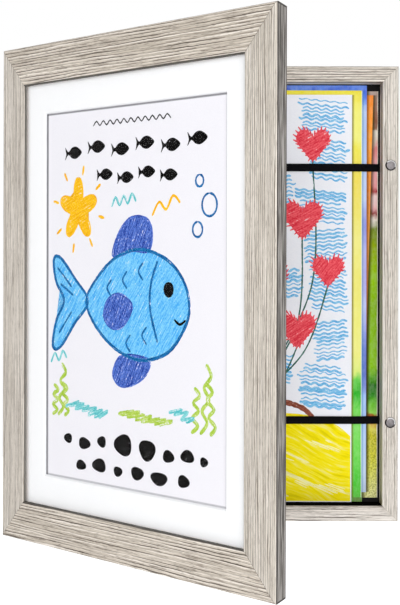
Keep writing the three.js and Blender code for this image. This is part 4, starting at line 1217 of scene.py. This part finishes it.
drawing = new_drawing()
for x, z, size in hearts:
    rim = drawn_line([(x + a * size, z + b * size) for a, b in heart], closed=True)
    patch(drawing, rim, 40 + hand.uniform(-15, 15), step=None)
    for spot in rim[::2]:
        out = (spot - Vector((x, z))).normalized() * hand.uniform(1.2, 3.0)
        stroke(drawing, [spot - out * 0.9, spot, spot + Vector((out.x - 0.5, out.y + 0.9))], 1.5, 0.02, None)
lay_down("crayon_red_hearts", drawing, red, "sheet", 0.13)

drawing = new_drawing()
stroke(drawing, [(-14, -96), (-4, -89), (14, -84), (34, -82), (54, -84), (70, -89), (79, -97)], 4.2)
lay_down("crayon_brown_mound", drawing, brown, "sheet", 0.16)
print("front sheet drawn with", len(hearts), "hearts")

# %% [markdown]
# ## The painted field
# A field of yellow poster paint lies at the foot of the front sheet, put on with a broad brush. A brush
# leaves long streaks that bend with the hand, so the noise is drawn out along the map and
# a slower noise bends it first. Paler strokes of one to three lines each lie over it.

# %% The painted field
brush_streak, pale_strokes, bristle_gap = (2.6, 0.3, 1), 46, 1.3
yellow, yellow_tree, yellow_shader = new_finish("brushed_yellow_paint", "#EEDF1C", Roughness=0.7,
                                                Specular_IOR_Level=0.08)
brush_map = add_node(yellow_tree, "UVMap", uv_map="stroke")
brush_turn = add_node(yellow_tree, "TexNoise", (brush_map, 0.22, 1.0)).node.outputs["Color"]
brush_bent = add_node(yellow_tree, "VectorMath", (brush_turn, (0, 1.7, 0), brush_map),
                      operation="MULTIPLY_ADD")
brush_long = add_node(yellow_tree, "Mapping", {"Vector": brush_bent, "Scale": brush_streak},
                      vector_type="TEXTURE")
brush = add_node(yellow_tree, "TexNoise", (brush_long, 1.0, 4.0, 0.6))
brush_tones = [(0.30, "#E0D000"), (0.40, "#EEDD00"), (0.46, "#FAE800"), (0.52, "#F8E820"), (0.58, "#FAEC4C"),
               (0.64, "#F8EE7C"), (0.72, "#FCF4A6")]
feed(yellow_shader, Base_Color=colour_steps(brush, brush_tones, unit=1))
pale_yellow = wax("pale_yellow_paint", "#FBF7C0", "#F7F098", "#F6EC60", 0.62)

low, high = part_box("stored_sheet_crayon")
left, right, foot = low.x / mm + 0.4, high.x / mm - 0.8, low.z / mm + 0.6
crest = drawn_line([(left, -112), (-90, -104), (-50, -98), (-10, -95), (40, -93), (70, -94), (86, -98),
                    (98, -103), (right, -111)], 4)
drawing = new_drawing()
patch(drawing, crest + [Vector((right, foot)), Vector((left, foot)), crest[0]], -24, step=None)
lay_down("paint_yellow_field", drawing, yellow, "sheet", 0.03)

drawing = new_drawing()
for number in range(pale_strokes):
    x, z = hand.uniform(left + 5, right - 12), hand.uniform(foot + 6, -112)
    length = min(hand.uniform(8, 30), right - x - 3)
    fall = min(length * hand.uniform(0.3, 0.46), z - foot - 3)
    for bristle in range(hand.choice((1, 2, 2, 3))):
        start, drop = hand.uniform(0, 0.3) * length, bristle * bristle_gap
        if z - fall - drop > foot + 2:
            line = [(x + start, z - drop - start * fall / length),
                    (x + length * hand.uniform(0.75, 1), z - fall * 0.9 - drop)]
            stroke(drawing, line, hand.uniform(0.7, 1.7), 0.0002 * number, 3)
lay_down("paint_pale_strokes", drawing, pale_yellow, "sheet", 0.06)
print("field from", round(left), "to", round(right), "mm")
